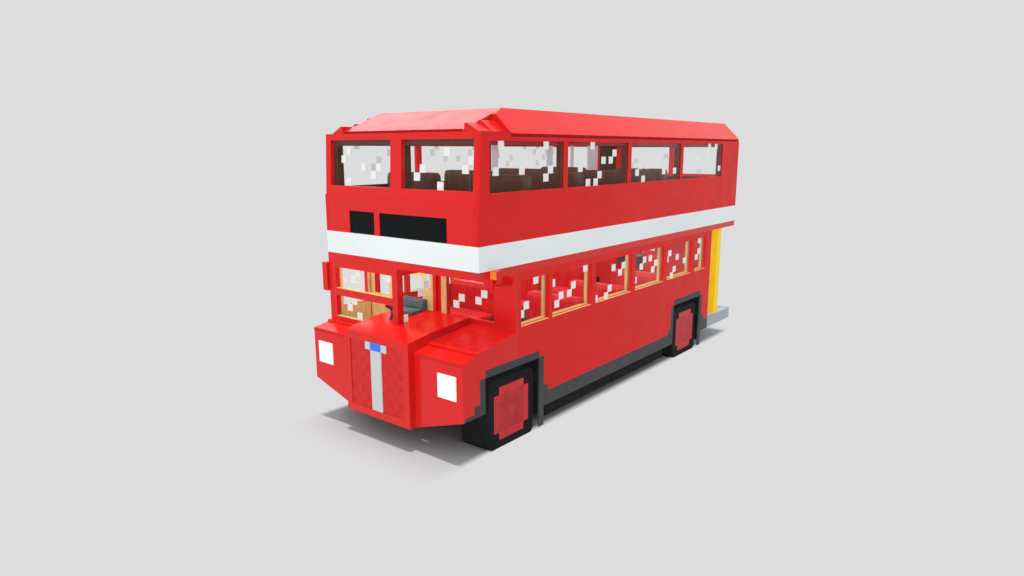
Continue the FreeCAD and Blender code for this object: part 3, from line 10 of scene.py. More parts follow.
import bmesh
import bpy
import numpy as np
from bpy.props import FloatProperty, FloatVectorProperty, IntProperty, PointerProperty
from bpy.types import Operator, Panel, PropertyGroup
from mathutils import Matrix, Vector

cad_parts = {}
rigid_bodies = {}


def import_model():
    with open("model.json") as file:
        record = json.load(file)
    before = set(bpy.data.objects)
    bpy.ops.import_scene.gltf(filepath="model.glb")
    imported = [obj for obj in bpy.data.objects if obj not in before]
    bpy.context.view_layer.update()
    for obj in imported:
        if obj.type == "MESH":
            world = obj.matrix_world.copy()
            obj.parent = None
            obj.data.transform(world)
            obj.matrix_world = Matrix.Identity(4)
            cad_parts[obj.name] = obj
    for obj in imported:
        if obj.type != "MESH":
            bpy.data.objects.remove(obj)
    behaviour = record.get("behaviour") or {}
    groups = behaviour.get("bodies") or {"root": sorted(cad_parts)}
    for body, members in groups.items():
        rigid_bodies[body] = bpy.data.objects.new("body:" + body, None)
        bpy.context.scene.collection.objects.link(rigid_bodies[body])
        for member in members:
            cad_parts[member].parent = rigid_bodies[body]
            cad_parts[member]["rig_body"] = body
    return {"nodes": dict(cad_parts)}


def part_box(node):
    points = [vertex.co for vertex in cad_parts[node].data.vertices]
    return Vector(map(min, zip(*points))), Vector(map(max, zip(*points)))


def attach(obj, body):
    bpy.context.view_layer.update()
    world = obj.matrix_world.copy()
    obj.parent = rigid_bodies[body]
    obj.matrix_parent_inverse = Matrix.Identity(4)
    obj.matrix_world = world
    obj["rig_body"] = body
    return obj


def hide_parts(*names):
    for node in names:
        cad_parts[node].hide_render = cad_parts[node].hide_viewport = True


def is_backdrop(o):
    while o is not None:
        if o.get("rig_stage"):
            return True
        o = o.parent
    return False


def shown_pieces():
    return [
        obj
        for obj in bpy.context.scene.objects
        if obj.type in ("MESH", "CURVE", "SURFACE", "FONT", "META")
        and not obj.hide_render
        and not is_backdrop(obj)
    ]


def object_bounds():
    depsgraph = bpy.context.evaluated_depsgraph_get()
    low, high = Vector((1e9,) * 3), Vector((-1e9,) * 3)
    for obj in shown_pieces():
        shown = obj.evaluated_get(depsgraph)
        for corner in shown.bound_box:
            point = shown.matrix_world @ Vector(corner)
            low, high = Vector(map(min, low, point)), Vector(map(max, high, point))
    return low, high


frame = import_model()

bl_info = {
    "name": "Double Decker Bus",
    "version": (1, 0, 0),
    "blender": (4, 5, 0),
    "location": "View3D > Sidebar > Bus",
    "description": "Dresses the packed bus in paint, glass, seats, linings and trim, and sets its studio",
    "category": "Object",
}

cad_low, cad_high = (tuple(corner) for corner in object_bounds())

BODY = "bus_body"
SIDES = (("nearside", 1), ("offside", -1))
SIGNS = (1, -1)
X_AXIS, Y_AXIS, Z_AXIS = 0, 1, 2
ALONG_Y = (0, 1, 0)  # for swept: squares a profile to the length of the bus
TINY = 1e-9  # stands in for a length of nought where one is divided by
FLOOR_SHARE = 1.2  # floor paint to the backdrop's colour, so that the lit floor matches it
PLAIN_BESIDE = (1.28, 1.40)  # from the middle line across: where the floor begins and ends to turn plain
PLAIN_AHEAD = (4.2, 4.7)  # the same along the bus


def solids(name):
    """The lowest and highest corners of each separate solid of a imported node.

    Triangles that share a corner belong together. Each corner starts with a number of its own, a
    triangle's corners all take the lowest of theirs, and that is repeated until no number changes.
    """
    mesh = frame["nodes"][name].data
    mesh.calc_loop_triangles()
    points = read_array(mesh.vertices, "co", np.float32)
    corners = read_array(mesh.loop_triangles, "vertices", np.int32)
    same = np.unique(points.round(4), axis=0, return_inverse=True)[1].reshape(-1)
    corners = same[corners]
    numbers, before = np.arange(same.max() + 1), None
    while before is None or (numbers != before).any():
        before = numbers.copy()
        np.minimum.at(numbers, corners, before[corners].min(axis=1)[:, None])
    found = [points[numbers[same] == number] for number in np.unique(numbers[same])]
    return [(group.min(axis=0).astype(float), group.max(axis=0).astype(float)) for group in found]


# ---------------------------------------------------------------- meshes


def read_array(items, field, kind, width=3):
    """One field of a mesh's points, triangles or corners as an array with a row for each."""
    values = np.empty(len(items) * width, kind)
    items.foreach_get(field, values)
    return values.reshape(-1, width)


def across(sign, one, two):
    """The span between two distances from the middle line, on the side that the sign gives."""
    return sorted((sign * one, sign * two))


def grid_faces(rows, columns, close_rows=False, close_columns=False):
    """Quads of a grid of points stored row by row; a closed way joins its last line back to its first."""
    row = np.arange(rows if close_rows else rows - 1)[:, None]
    column = np.arange(columns if close_columns else columns - 1)[None, :]
    next_row, next_column = (row + 1) % rows, (column + 1) % columns
    corners = (row * columns + column, row * columns + next_column,
               next_row * columns + next_column, next_row * columns + column)
    return np.stack(np.broadcast_arrays(*corners), axis=-1).reshape(-1, 4)


def tube_faces(rows, columns):
    """Quads of a tube made of rings of points, and one face to close each end."""
    ends = [list(range(columns))[::-1], list(range((rows - 1) * columns, rows * columns))]
    return grid_faces(rows, columns, False, True).tolist() + ends


def gather(shapes):
    """Several shapes as one: each shape's faces count on from the points before it."""
    points, faces, count = [], [], 0
    for some_points, some_faces in shapes:
        points.append(np.asarray(some_points, float).reshape(-1, 3))
        faces += [tuple(corner + count for corner in face) for face in some_faces]
        count += len(points[-1])
    return np.concatenate(points), faces


def repeated(shape, shifts):
    """A quad shape set down again at each shift: points + shift, and faces that count on by its points."""
    points, faces = shape
    shifts = np.asarray(shifts, float)
    every = points[None] + shifts[:, None]
    counted = np.asarray(faces)[None] + len(points) * np.arange(len(shifts))[:, None, None]
    return every.reshape(-1, 3), counted.reshape(-1, 4)


def blocks(lows, highs):
    """Square-edged blocks between pairs of corners: the unit cube's corners scaled to each block's size."""
    low, high = np.atleast_2d(np.asarray(lows, float)), np.atleast_2d(np.asarray(highs, float))
    unit = np.array([[x, y, z] for x in (0, 1) for y in (0, 1) for z in (0, 1)], float)
    sides = np.array([(0, 1, 3, 2), (4, 6, 7, 5), (0, 4, 5, 1), (2, 3, 7, 6), (0, 2, 6, 4), (1, 5, 7, 3)])
    points = low[:, None] + unit * (high - low)[:, None]
    faces = sides[None] + 8 * np.arange(len(low))[:, None, None]
    return points.reshape(-1, 3), faces.reshape(-1, 4)


def slabs(spans):
    """Blocks that are each given by a span across the bus, a span along it and a span upwards."""
    ends = np.array(spans, float)
    return blocks(ends[..., 0], ends[..., 1])


def swept(outline, path, closed=False, square=(0, 0, 1)):
    """A profile carried along a path.

    At each point of the path the profile's first axis is the path's direction crossed with `square`. Its
    second axis is as near to `square` as it can be while square to the path. So each profile point lands
    on path + first x sideways + second x upwards. Corners are mitred: sideways grows by one over the
    cosine of half the corner's turn.
    """
    path, outline = np.asarray(path, float), np.asarray(outline, float)
    ahead = np.roll(path, -1, axis=0) - path
    behind = path - np.roll(path, 1, axis=0)
    if not closed:
        ahead[-1], behind[0] = behind[-1], ahead[0]
    ahead /= np.linalg.norm(ahead, axis=1)[:, None]
    behind /= np.linalg.norm(behind, axis=1)[:, None]
    along = ahead + behind
    along /= np.linalg.norm(along, axis=1)[:, None]
    sideways = np.cross(along, np.asarray(square, float)[None])
    sideways /= np.linalg.norm(sideways, axis=1)[:, None]
    upward = np.cross(sideways, along)
    widen = 1 / np.maximum(np.sqrt((1 + np.sum(ahead * behind, axis=1)) / 2), 0.5)
    points = (path[:, None] + outline[None, :, :1] * sideways[:, None] * widen[:, None, None]
              + outline[None, :, 1:] * upward[:, None])
    rows, columns = len(path), len(outline)
    faces = grid_faces(rows, columns, True, True).tolist() if closed else tube_faces(rows, columns)
    return points.reshape(-1, 3), faces


def turns(count, start=0.0):
    """The angles of equal steps of a whole turn; the start is a share of one step."""
    return (np.arange(count) + start) * 2 * math.pi / count


def round_outline(radius, count=12):
    """A circle of points: radius x (cosine, sine) of equal steps of a whole turn."""
    turn = turns(count)
    return radius * np.stack([np.cos(turn), np.sin(turn)], axis=1)


def rod(path, radius, count, square=(0, 0, 1)):
    """A round bar along a path."""
    return swept(round_outline(radius, count), path, square=square)


def moulding(wide, high, ease=0.003):
    """A bar's profile: a rectangle whose four corners are each cut off by the ease."""
    x, y = wide / 2, high / 2
    quarter = np.array([(x, y - ease), (x - ease, y)])
    turned = quarter[::-1] * (-1, 1)
    return np.concatenate([quarter, turned, -quarter, -turned])


def lathe(outline, centre, axis, count=24):
    """A turned shape: each (distance along the axis, radius) is carried round a full circle."""
    outline, turn = np.asarray(outline, float), turns(count)
    points = np.zeros((len(outline), count, 3))
    points[..., axis] = outline[:, :1]
    points[..., (axis + 1) % 3] = outline[:, 1:] * np.cos(turn)
    points[..., (axis + 2) % 3] = outline[:, 1:] * np.sin(turn)
    return points.reshape(-1, 3) + np.asarray(centre, float), tube_faces(len(outline), count)


def pillow(low, high, boxy=0.22, rows=40, columns=72):
    """A stuffed block before it is filled: a superellipsoid between two corners.

    With latitude v and longitude u, each half size is multiplied by cos v cos u, cos v sin u and sin v,
    every cosine and sine raised to a small power that keeps its sign, which squares the ball up into a
    soft block.
    """
    low, high = np.asarray(low, float), np.asarray(high, float)
    rise, turn = np.linspace(-0.497, 0.497, rows)[:, None] * math.pi, turns(columns)[None, :]

    def eased(value):
        return np.sign(value) * np.abs(value) ** boxy

    flat = eased(np.cos(rise))
    ball = np.stack(np.broadcast_arrays(flat * eased(np.cos(turn)), flat * eased(np.sin(turn)),
                                        eased(np.sin(rise))), axis=-1)
    points = (low + high) / 2 + ball * (high - low) / 2
    return points.reshape(-1, 3), tube_faces(rows, columns)


def rounded_loop(low, high, wide, up, at, corner=0.04, count=96):
    """A closed path round a rectangle in the plane of two axes, at a set place on the third.

    Rays at equal angles meet the rectangle's edge. What lies within a corner's radius of both sides is
    then drawn in to a circle of that radius about the corner's centre.
    """
    turn = turns(count, 0.5)
    cosine, sine = np.cos(turn), np.sin(turn)
    reach = 1 / np.maximum(np.abs(cosine), np.abs(sine))
    edge = np.stack([cosine * reach, sine * reach], axis=1)
    half = np.array([high[wide] - low[wide], high[up] - low[up]]) / 2
    inside = half - corner
    flat = np.clip(edge * half, -inside, inside)
    over = edge * half - flat
    length = np.maximum(np.linalg.norm(over, axis=1), TINY)[:, None]
    flat = flat + over / length * corner * (length > 1e-6)
    path = np.empty((len(turn), 3))
    path[:, wide] = (low[wide] + high[wide]) / 2 + flat[:, 0]
    path[:, up] = (low[up] + high[up]) / 2 + flat[:, 1]
    path[:, 3 - wide - up] = at
    return path


def settled(scene, source, count=20):
    """Plays the scene to a frame, gives the points and faces of a scratch object's finished mesh, and
    removes it."""
    for step in range(1, count + 1):
        scene.frame_set(step)
    graph = bpy.context.evaluated_depsgraph_get()
    mesh = bpy.data.meshes.new_from_object(source.evaluated_get(graph))
    points = read_array(mesh.vertices, "co", np.float32).astype(float)
    faces = read_array(mesh.loops, "vertex_index", np.int32, 1).reshape(-1, 4)
    old = source.data
    bpy.data.objects.remove(source)
    for used in (mesh, old):
        bpy.data.meshes.remove(used)
    scene.frame_set(1)
    return points, faces


def scratch(scene, name, shape):
    """A plain object for a simulation, which `settled` removes again."""
    mesh = bpy.data.meshes.new(name)
    mesh.from_pydata(np.asarray(shape[0]).tolist(), [], [list(face) for face in shape[1]])
    made = bpy.data.objects.new(name, mesh)
    scene.collection.objects.link(made)
    return made


def stuffed(shape, voxel, pressure=4.0, most=0.014):
    """A cushion filled until it swells: an even skin is laid over the shape and blown up as cloth.

    Each point then moves by its cloth movement, cut to the most that a cover would stretch.
    """
    scene = bpy.context.scene
    skin = scratch(scene, "skin", shape)
    remesh = skin.modifiers.new("even", "REMESH")
    remesh.mode, remesh.voxel_size = "VOXEL", voxel
    points, faces = settled(scene, skin, 1)
    cover = scratch(scene, "cover", (points, faces.tolist()))
    settings = cover.modifiers.new("filled", "CLOTH").settings
    settings.quality = 4
    settings.use_pressure, settings.uniform_pressure_force = True, pressure
    settings.effector_weights.gravity = 0
    moved = settled(scene, cover)[0] - points
    far = np.maximum(np.linalg.norm(moved, axis=1), TINY)[:, None]
    return points + moved * np.minimum(1, most / far), faces


def channelled(shape, wide, through, lines, depth, spread=0.014):
    """Presses sewn channels into a cushion.

    A point moves towards the middle plane by the depth times the sum of a bell curve over its distance
    from each line. The push fades out between three tenths and eight tenths of the way from the middle
    plane to the face.
    """
    points, faces = shape
    middle = (points[:, through].min() + points[:, through].max()) / 2
    away = points[:, through] - middle
    bell = np.exp(-((points[:, wide, None] - np.asarray(lines)) / spread) ** 2).sum(axis=1)
    near_face = np.clip(np.abs(away) / np.abs(away).max() * 2 - 0.6, 0, 1)
    pressed = points.copy()
    pressed[:, through] -= np.sign(away) * depth * bell * near_face
    return pressed, faces


def piped(shape, path, radius=0.005):
    """Piping round a cushion: each point of the path goes to the cushion's nearest point, the line is then
    eased by averaging neighbours, and a small round profile is carried along it."""
    points = shape[0]
    gaps = np.linalg.norm(path[:, None] - points[None], axis=2)
    line = points[gaps.argmin(axis=1)]
    for _ in range(4):
        line = (np.roll(line, 1, axis=0) + 2 * line + np.roll(line, -1, axis=0)) / 4
    flat = int(np.ptp(path, axis=0).argmin())
    return swept(round_outline(radius, 6), line, True, np.eye(3)[flat])


def piece(name, shape, finish, body=BODY, smooth=False, tones=None, slot=None, replaces=(), soften=0.0):
    """Puts a shape into a new object, gives it its finish and lets it ride on a body."""
    points, faces = shape
    mesh = bpy.data.meshes.new(name)
    mesh.from_pydata(np.asarray(points, float).tolist(), [],
                     faces.tolist() if isinstance(faces, np.ndarray) else faces)
    mesh.validate()
    outward = bmesh.new()
    outward.from_mesh(mesh)
    bmesh.ops.recalc_face_normals(outward, faces=outward.faces)
    outward.to_mesh(mesh)
    outward.free()
    if smooth:
        mesh.shade_smooth()
    if tones is not None:
        tone = mesh.attributes.new("tone", "FLOAT", "FACE")
        tone.data.foreach_set("value", np.asarray(tones, np.float32))
    mesh.materials.append(finishes[finish])
    made = bpy.data.objects.new(name, mesh)
    bpy.context.scene.collection.objects.link(made)
    if soften:
        edge = made.modifiers.new("edge", "BEVEL")
        edge.width, edge.segments = soften, 2
    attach(made, body)
    if replaces:
        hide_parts(*replaces)
    return made


# ---------------------------------------------------------------- finishes


class Nodes:
    """A node tree, with short ways to add nodes to it and to join them."""

    def __init__(self, tree):
        self.tree = tree

    def feed(self, node, values):
        """Gives a node's sockets their values, or links them where a value is another node's output."""
        for key, value in values.items():
            if isinstance(value, bpy.types.NodeSocket):
                self.tree.links.new(value, node.inputs[key])
            else:
                node.inputs[key].default_value = value

    def add(self, kind, values=None, **settings):
        """Adds one shader node with its settings and inputs."""
        node = self.tree.nodes.new(f"ShaderNode{kind}")
        for key, value in settings.items():
            setattr(node, key, value)
        self.feed(node, values or {})
        return node

    def place(self, stretch=(1, 1, 1)):
        """Object coordinates, stretched along each axis."""
        spot = self.add("TexCoord").outputs["Object"]
        return self.add("Mapping", {"Vector": spot, "Scale": stretch}).outputs["Vector"]

    def noise(self, spot, scale, detail=3.0, rough=0.5):
        sockets = {"Vector": spot, "Scale": scale, "Detail": detail, "Roughness": rough}
        return self.add("TexNoise", sockets).outputs["Fac"]

    def ranged(self, value, low, high, start=0.3, end=0.7):
        """A value between start and end, carried to between low and high."""
        sockets = {"Value": value, "From Min": start, "From Max": end, "To Min": low, "To Max": high}
        return self.add("MapRange", sockets).outputs["Result"]

    def patchy(self, spot, scale, low=0.0, high=1.0, detail=3.0, rough=0.5, start=0.3, end=0.7):
        """Noise of a given scale, detail and roughness, carried to between low and high."""
        return self.ranged(self.noise(spot, scale, detail, rough), low, high, start, end)

    def combined(self, one, two, how="MULTIPLY"):
        return self.add("Math", {0: one, 1: two}, operation=how).outputs["Value"]

    def mixed(self, share, one, two):
        """One colour, and share of another laid over it."""
        return self.add("Mix", {0: share, 6: one, 7: two}, data_type="RGBA").outputs[2]

    def bumped(self, height, strength, distance):
        """A normal raised by a height."""
        sockets = {"Height": height, "Strength": strength, "Distance": distance}
        return self.add("Bump", sockets).outputs["Normal"]

    def layered(self, share, under, over, output):
        """Two shaders, the second seen by its share, led to the output."""
        both = self.add("MixShader", {0: share, 1: under, 2: over}).outputs[0]
        self.tree.links.new(both, output.inputs["Surface"])


class Finish(Nodes):
    """A new material's nodes and its shader, whose plain sockets are set straight on it."""

    def __init__(self, name, plain=None):
        self.material = bpy.data.materials.new(name)
        self.material.use_nodes = True
        super().__init__(self.material.node_tree)
        self.shader = self.tree.nodes["Principled BSDF"]
        self.feed(self.shader, plain or {})

    def wears(self, colour, rough, normal=None):
        """Leads a colour, a roughness and a normal to the shader, and gives the material."""
        self.feed(self.shader, {"Base Color": colour, "Roughness": rough})
        if normal is not None:
            self.feed(self.shader, {"Normal": normal})
        return self.material


def shaded(colour, share=1.0):
    """A colour made lighter or darker by a share, with alpha 1."""
    return tuple(min(1.0, c * share) for c in tuple(colour)[:3]) + (1.0,)


def paint(name, colour, gloss=0.3, grime=0.1, top=0.95, shine=0.38):
    """Coach paint: broad faint colour drift, orange peel, worn gloss, and road dust that thins with
    height."""
    made = Finish(name, {"Specular IOR Level": shine})
    spot = made.place()
    drift = made.mixed(made.patchy(spot, 0.9), shaded(colour, 0.965), shaded(colour, 1.03))
    low = made.ranged(made.add("SeparateXYZ", {0: spot}).outputs["Z"], grime, 0, 0.25, top)
    patches = made.patchy(made.place((1, 1, 0.35)), 7, 0.2, 1, 5, 0.6)
    dusty = made.mixed(made.combined(low, patches), drift, shaded(colours().road_dust))
    rough = made.patchy(spot, 3.5, gloss - 0.05, gloss + 0.1, 4)
    return made.wears(dusty, rough, made.bumped(made.noise(spot, 260, 1), 0.02, 0.0004))


def rubber(name, colour):
    """Tyre rubber: matt, slightly grey where it is scuffed, with a fine moulded grain."""
    made = Finish(name, {"Specular IOR Level": 0.12})
    spot = made.place()
    scuff = made.patchy(spot, 9, 0, 1, 6, 0.65, 0.45, 0.75)
    tint = made.mixed(scuff, shaded(colour, 0.85), shaded(colour, 1.3))
    grain = made.bumped(made.noise(spot, 260, 2), 0.25, 0.0015)
    return made.wears(tint, made.patchy(spot, 24, 0.6, 0.85), grain)


def plain_metal(name, colour, metallic=0.0, rough=0.45, rusty=0.25, rust=(0.12, 0.05, 0.025)):
    """Chassis black or cast metal: satin, with rust or oil gathered in patches and a cast skin."""
    made = Finish(name, {"Metallic": metallic})
    spot = made.place()
    tint = made.mixed(made.patchy(spot, 5, 0, rusty, 6, 0.65, 0.5, 0.72), shaded(colour), shaded(rust))
    worn = made.patchy(spot, 12, rough - 0.08, rough + 0.2, 4)
    return made.wears(tint, worn, made.bumped(made.noise(spot, 180, 3), 0.2, 0.001))


def wood(name, colour, grain=(1, 1, 0.08)):
    """Varnished wood: fine grain stretched along its length, with darker veins and a satin coat."""
    made = Finish(name, {"Coat Weight": 0.3, "Coat Roughness": 0.25})
    spot = made.place(grain)
    tint = made.mixed(made.patchy(spot, 45, 0, 1, 5, 0.6, 0.35), shaded(colour, 1.12), shaded(colour, 0.72))
    pores = made.bumped(made.noise(spot, 160, 2), 0.15, 0.0008)
    return made.wears(tint, made.patchy(spot, 20, 0.4, 0.6), pores)


def leather(name, colour, rough=0.42):
    """Hide: small rounded cells with creases between them, darkened as painted shade, and wear that polishes
    and fades broad patches."""
    made = Finish(name, {"Specular IOR Level": 0.5, "Sheen Weight": 0.15, "Sheen Roughness": 0.4})
    spot = made.place()
    cells = made.add("TexVoronoi", {"Vector": spot, "Scale": 210.0, "Randomness": 1.0}).outputs["Distance"]
    wear = made.noise(spot, 6, 5, 0.6)
    tint = made.mixed(made.ranged(wear, 0, 1), shaded(colour, 0.82), shaded(colour, 1.22))
    # painted shade: the creases between the cells are darkened
    crease_shaded = made.mixed(made.ranged(cells, 0, 0.35, 0.3, 0.75), tint, shaded(colour, 0.55))
    polish = made.ranged(wear, rough - 0.1, rough + 0.14)
    return made.wears(crease_shaded, polish, made.bumped(cells, 0.35, 0.0012))


def clear_glass(name, tint):
    """Thin clear glass: what is behind shows through, and a gloss grows towards a glancing view."""
    made = Finish(name, {"Specular IOR Level": 0.5})
    spot = made.place()
    smear = made.patchy(spot, 4, 0.02, 0.09, 4)
    made.wears(made.mixed(made.noise(spot, 1.3), shaded(tint, 0.96), shaded(tint)), smear)
    facing = made.add("LayerWeight", {"Blend": 0.12}).outputs["Fresnel"]
    through = made.add("BsdfTransparent", {"Color": (0.995, 1.0, 0.998, 1)}).outputs[0]
    gloss = made.ranged(facing, 0.004, 0.07, 0.0, 1.0)
    made.layered(gloss, through, made.shader.outputs[0], made.tree.nodes["Material Output"])
    return made.material


def lens(name, colour, glow, rough=0.2):
    """A moulded lamp lens: fine upright ribs, a little dust, and a faint glow of its own. Laid on the glass
    marks and the pole sleeve, which are no lamps, that glow is painted light.
    """
    made = Finish(name, {"Emission Strength": glow, "Emission Color": shaded(colour)})
    spot = made.place()
    ribs = made.add("TexWave", {"Vector": spot, "Scale": 9.0, "Distortion": 0.0}, bands_direction="X")
    tint = made.mixed(made.patchy(spot, 14), shaded(colour, 0.96), shaded(colour))
    ribbed = made.bumped(ribs.outputs["Fac"], 0.25, 0.003)
    return made.wears(tint, made.patchy(spot, 30, rough, rough + 0.15), ribbed)


def tiled(name, dark, light, rough=0.38):
    """Paint on a field of small tiles: each tile's tone lies between a dark and a light colour."""
    made = Finish(name, {"Specular IOR Level": 0.3})
    spot = made.place()
    tone = made.add("Attribute", attribute_name="tone").outputs["Fac"]
    base = made.mixed(tone, shaded(dark), shaded(light))
    dusty = made.mixed(made.patchy(spot, 11, 0, 0.12, 5), base, shaded(light, 1.1))
    return made.wears(dusty, made.patchy(spot, 18, rough, rough + 0.15),
                      made.bumped(made.noise(spot, 300), 0.08, 0.0008))


def slatted(name, colour, pitch=0.05):
    """Ribbed flooring: slats across the bus with dark grooves between them, scuffed by feet."""
    made = Finish(name)
    waves_a_metre = 0.314 / pitch
    sockets = {"Vector": made.place(), "Scale": waves_a_metre, "Distortion": 0.0, "Detail": 0.0}
    wave = made.add("TexWave", sockets, bands_direction="X", wave_profile="SIN").outputs["Fac"]
    groove = made.ranged(wave, 0, 1, 0.05, 0.3)
    scuffs = made.noise(made.place((1, 0.2, 1)), 30, 5, 0.6)
    slat = made.mixed(made.ranged(scuffs, 0, 1), shaded(colour, 0.86), shaded(colour, 1.08))
    return made.wears(made.mixed(groove, shaded(colour, 0.7), slat), made.ranged(scuffs, 0.45, 0.7),
                      made.bumped(groove, 0.4, 0.002))


# ---------------------------------------------------------------- what a user may change


def linear(red, green, blue):
    """A colour given as three shares of screen brightness, as the linear colour that a shader takes."""
    shares = np.array([red, green, blue], float)
    curved = ((shares + 0.055) / 1.055) ** 2.4
    return tuple(float(share) for share in np.where(shares <= 0.04045, shares / 12.92, curved))


def colour_choice(name, text, red, green, blue):
    return FloatVectorProperty(name=name, description=text, default=linear(red, green, blue), size=3,
                               min=0, max=1, subtype="COLOR")


def length_choice(name, text, metres):
    return FloatProperty(name=name, description=text, default=metres, min=0,
                         subtype="DISTANCE", unit="LENGTH")


def plain_choice(name, text, value):
    return FloatProperty(name=name, description=text, default=value, min=0)


class BusColours(PropertyGroup):
    """The colours of the bus."""

    coach_red: colour_choice("Coach red", "Paint of the outside panels", 0.885, 0.12, 0.11)
    # painted shade: the dark red of the strips in the roof's curbs and at the foot of its front slope stands in
    # for the shade in those recesses
    painted_shade_red: colour_choice("Recess red", "Drip channels", 0.68, 0.10, 0.11)
    # painted shade: the darker red of the wings' brow strips stands in for the shade on that face over the
    # headlamps
    brow_red: colour_choice("Brow red", "Strips over the headlamps", 0.83, 0.15, 0.15)
    waist_white: colour_choice("Waist white", "Paint of the pale band", 0.95, 0.975, 0.975)
    skirt_grey: colour_choice("Skirt grey", "Paint of the skirts and arch trims", 0.215, 0.235, 0.25)
    arch_black: colour_choice("Arch black", "Inside of the wheel arches", 0.03, 0.03, 0.03)
    tyre_black: colour_choice("Tyre black", "Rubber of the tyres", 0.105, 0.115, 0.125)
    hub_dark: colour_choice("Hub dark red", "Darkest tiles of the hubs", 0.68, 0.13, 0.15)
    hub_light: colour_choice("Hub red", "Lightest tiles of the hubs", 0.83, 0.185, 0.2)
    grille_dark: colour_choice("Grille dark red", "Darkest tiles of the grille", 0.77, 0.11, 0.11)
    grille_light: colour_choice("Grille red", "Lightest tiles of the grille", 0.86, 0.125, 0.12)
    bar_grey: colour_choice("Bar grey", "The grille's upright bar", 0.80, 0.82, 0.82)
    badge_blue: colour_choice("Block blue", "The blue block over the grille", 0.20, 0.47, 1.0)
    pole_yellow: colour_choice("Pole yellow", "Platform pole and grab rails", 1.0, 0.84, 0.14)
    platform_grey: colour_choice("Platform grey", "Open rear platform", 0.78, 0.82, 0.84)
    trim_tan: colour_choice("Trim tan", "Varnished window trim and cab lining", 0.90, 0.76, 0.48)
    lining_brown: colour_choice("Lining brown", "Upper saloon lining and seats", 0.31, 0.17, 0.09)
    lining_red: colour_choice("Lining red", "Lower saloon lining and seats", 0.86, 0.08, 0.085)
    panel_grey: colour_choice("Panel grey", "Pale panels beside the upper pillars", 0.84, 0.85, 0.87)
    seat_grey: colour_choice("Seat grey", "Driver's seat", 0.32, 0.39, 0.41)
    floor_brown: colour_choice("Floor brown", "Saloon floors and stairs", 0.36, 0.27, 0.20)
    chassis_black: colour_choice("Chassis black", "Frame, axles and fittings", 0.12, 0.12, 0.125)
    cove_red: colour_choice("Cove red", "Mouldings under the upper ceiling's sides", 0.6, 0.12, 0.13)
    wheel_grey: colour_choice("Wheel grey", "Driver's steering wheel", 0.1, 0.1, 0.11)
    engine_grey: colour_choice("Engine grey", "Engine block and rocker cover", 0.32, 0.36, 0.33)
    frame_grey: colour_choice("Frame grey", "Legs and rails of the seats", 0.25, 0.25, 0.26)
    pipe_grey: colour_choice("Pipe grey", "Exhaust pipe and silencer", 0.36, 0.33, 0.31)
    bright_grey: colour_choice("Bright grey", "Handles, hinges and rims", 0.78, 0.78, 0.8)
    mirror_grey: colour_choice("Mirror grey", "Mirror glass", 0.88, 0.9, 0.92)
    blind_black: colour_choice("Blind black", "Blind boxes, dashboard and cab piping", 0.06, 0.065, 0.07)
    plate_white: colour_choice("Plate white", "Blank rear plate", 0.92, 0.92, 0.9)
    tail_red: colour_choice("Tail red", "Tail lenses", 0.75, 0.06, 0.05)
    oil_brown: colour_choice("Oil brown", "Oil on the engine", 0.12, 0.1, 0.08)
    tarnish_grey: colour_choice("Tarnish grey", "Tarnish on bright metal", 0.5, 0.48, 0.45)
    lamp_white: colour_choice("Lamp white", "Headlamp lenses", 1.0, 1.0, 1.0)
    # painted highlight: the white of the square glints on the glass, which also glow faintly
    glint_white: colour_choice("Mark white", "Square marks on the glass", 0.80, 0.80, 0.80)
    indicator_orange: colour_choice("Indicator orange", "Indicator lens", 0.96, 0.53, 0.14)
    glass_tint: colour_choice("Glass tint", "Windows", 0.90, 0.95, 0.95)
    road_dust: colour_choice("Road dust", "What settles on the lower panels", 0.52, 0.47, 0.42)
    backdrop: colour_choice("Backdrop", "Floor and background as they show", 0.867, 0.867, 0.867)


class BusSizes(PropertyGroup):
    """The sizes of what is added to the frame."""

    tile: length_choice("Tile", "Side of a square tile of the grille, hubs and glass marks", 0.1)
    tile_lift: length_choice("Tile lift", "How far the highest tile stands above the lowest", 0.003)
    mark_lift: length_choice("Glass mark lift", "How far a square mark stands off the glass", 0.0015)
    lining: length_choice("Lining", "Thickness of the inside linings", 0.008)
    pane: length_choice("Pane", "Thickness of the glass", 0.008)
    sill_strip: length_choice("Sill strip", "Thickness of the strips on the window sills", 0.006)
    board_wide: length_choice("Window board", "Width of the board inside a window", 0.075)
    bench_base: length_choice("Seat base", "Saloon floor to the underside of a cushion", 0.35)
    bench_top: length_choice("Seat height", "Saloon floor to the top of a cushion", 0.43)
    bench_back: length_choice("Seat back", "Thickness of a saloon seat's back", 0.2)
    driver_back: length_choice("Driver's backrest", "Thickness of the driver's backrest", 0.09)
    driver_rise: length_choice("Driver's backrest height",
                               "Driver's cushion to the top of the backrest", 0.14)
    post_wide: length_choice("Window post width", "Inner window posts along the bus", 0.09)
    post_deep: length_choice("Window post depth", "Inner window posts across the bus", 0.05)
    seed: IntProperty(name="Seed", description="Start of the random draws", default=7, min=0)


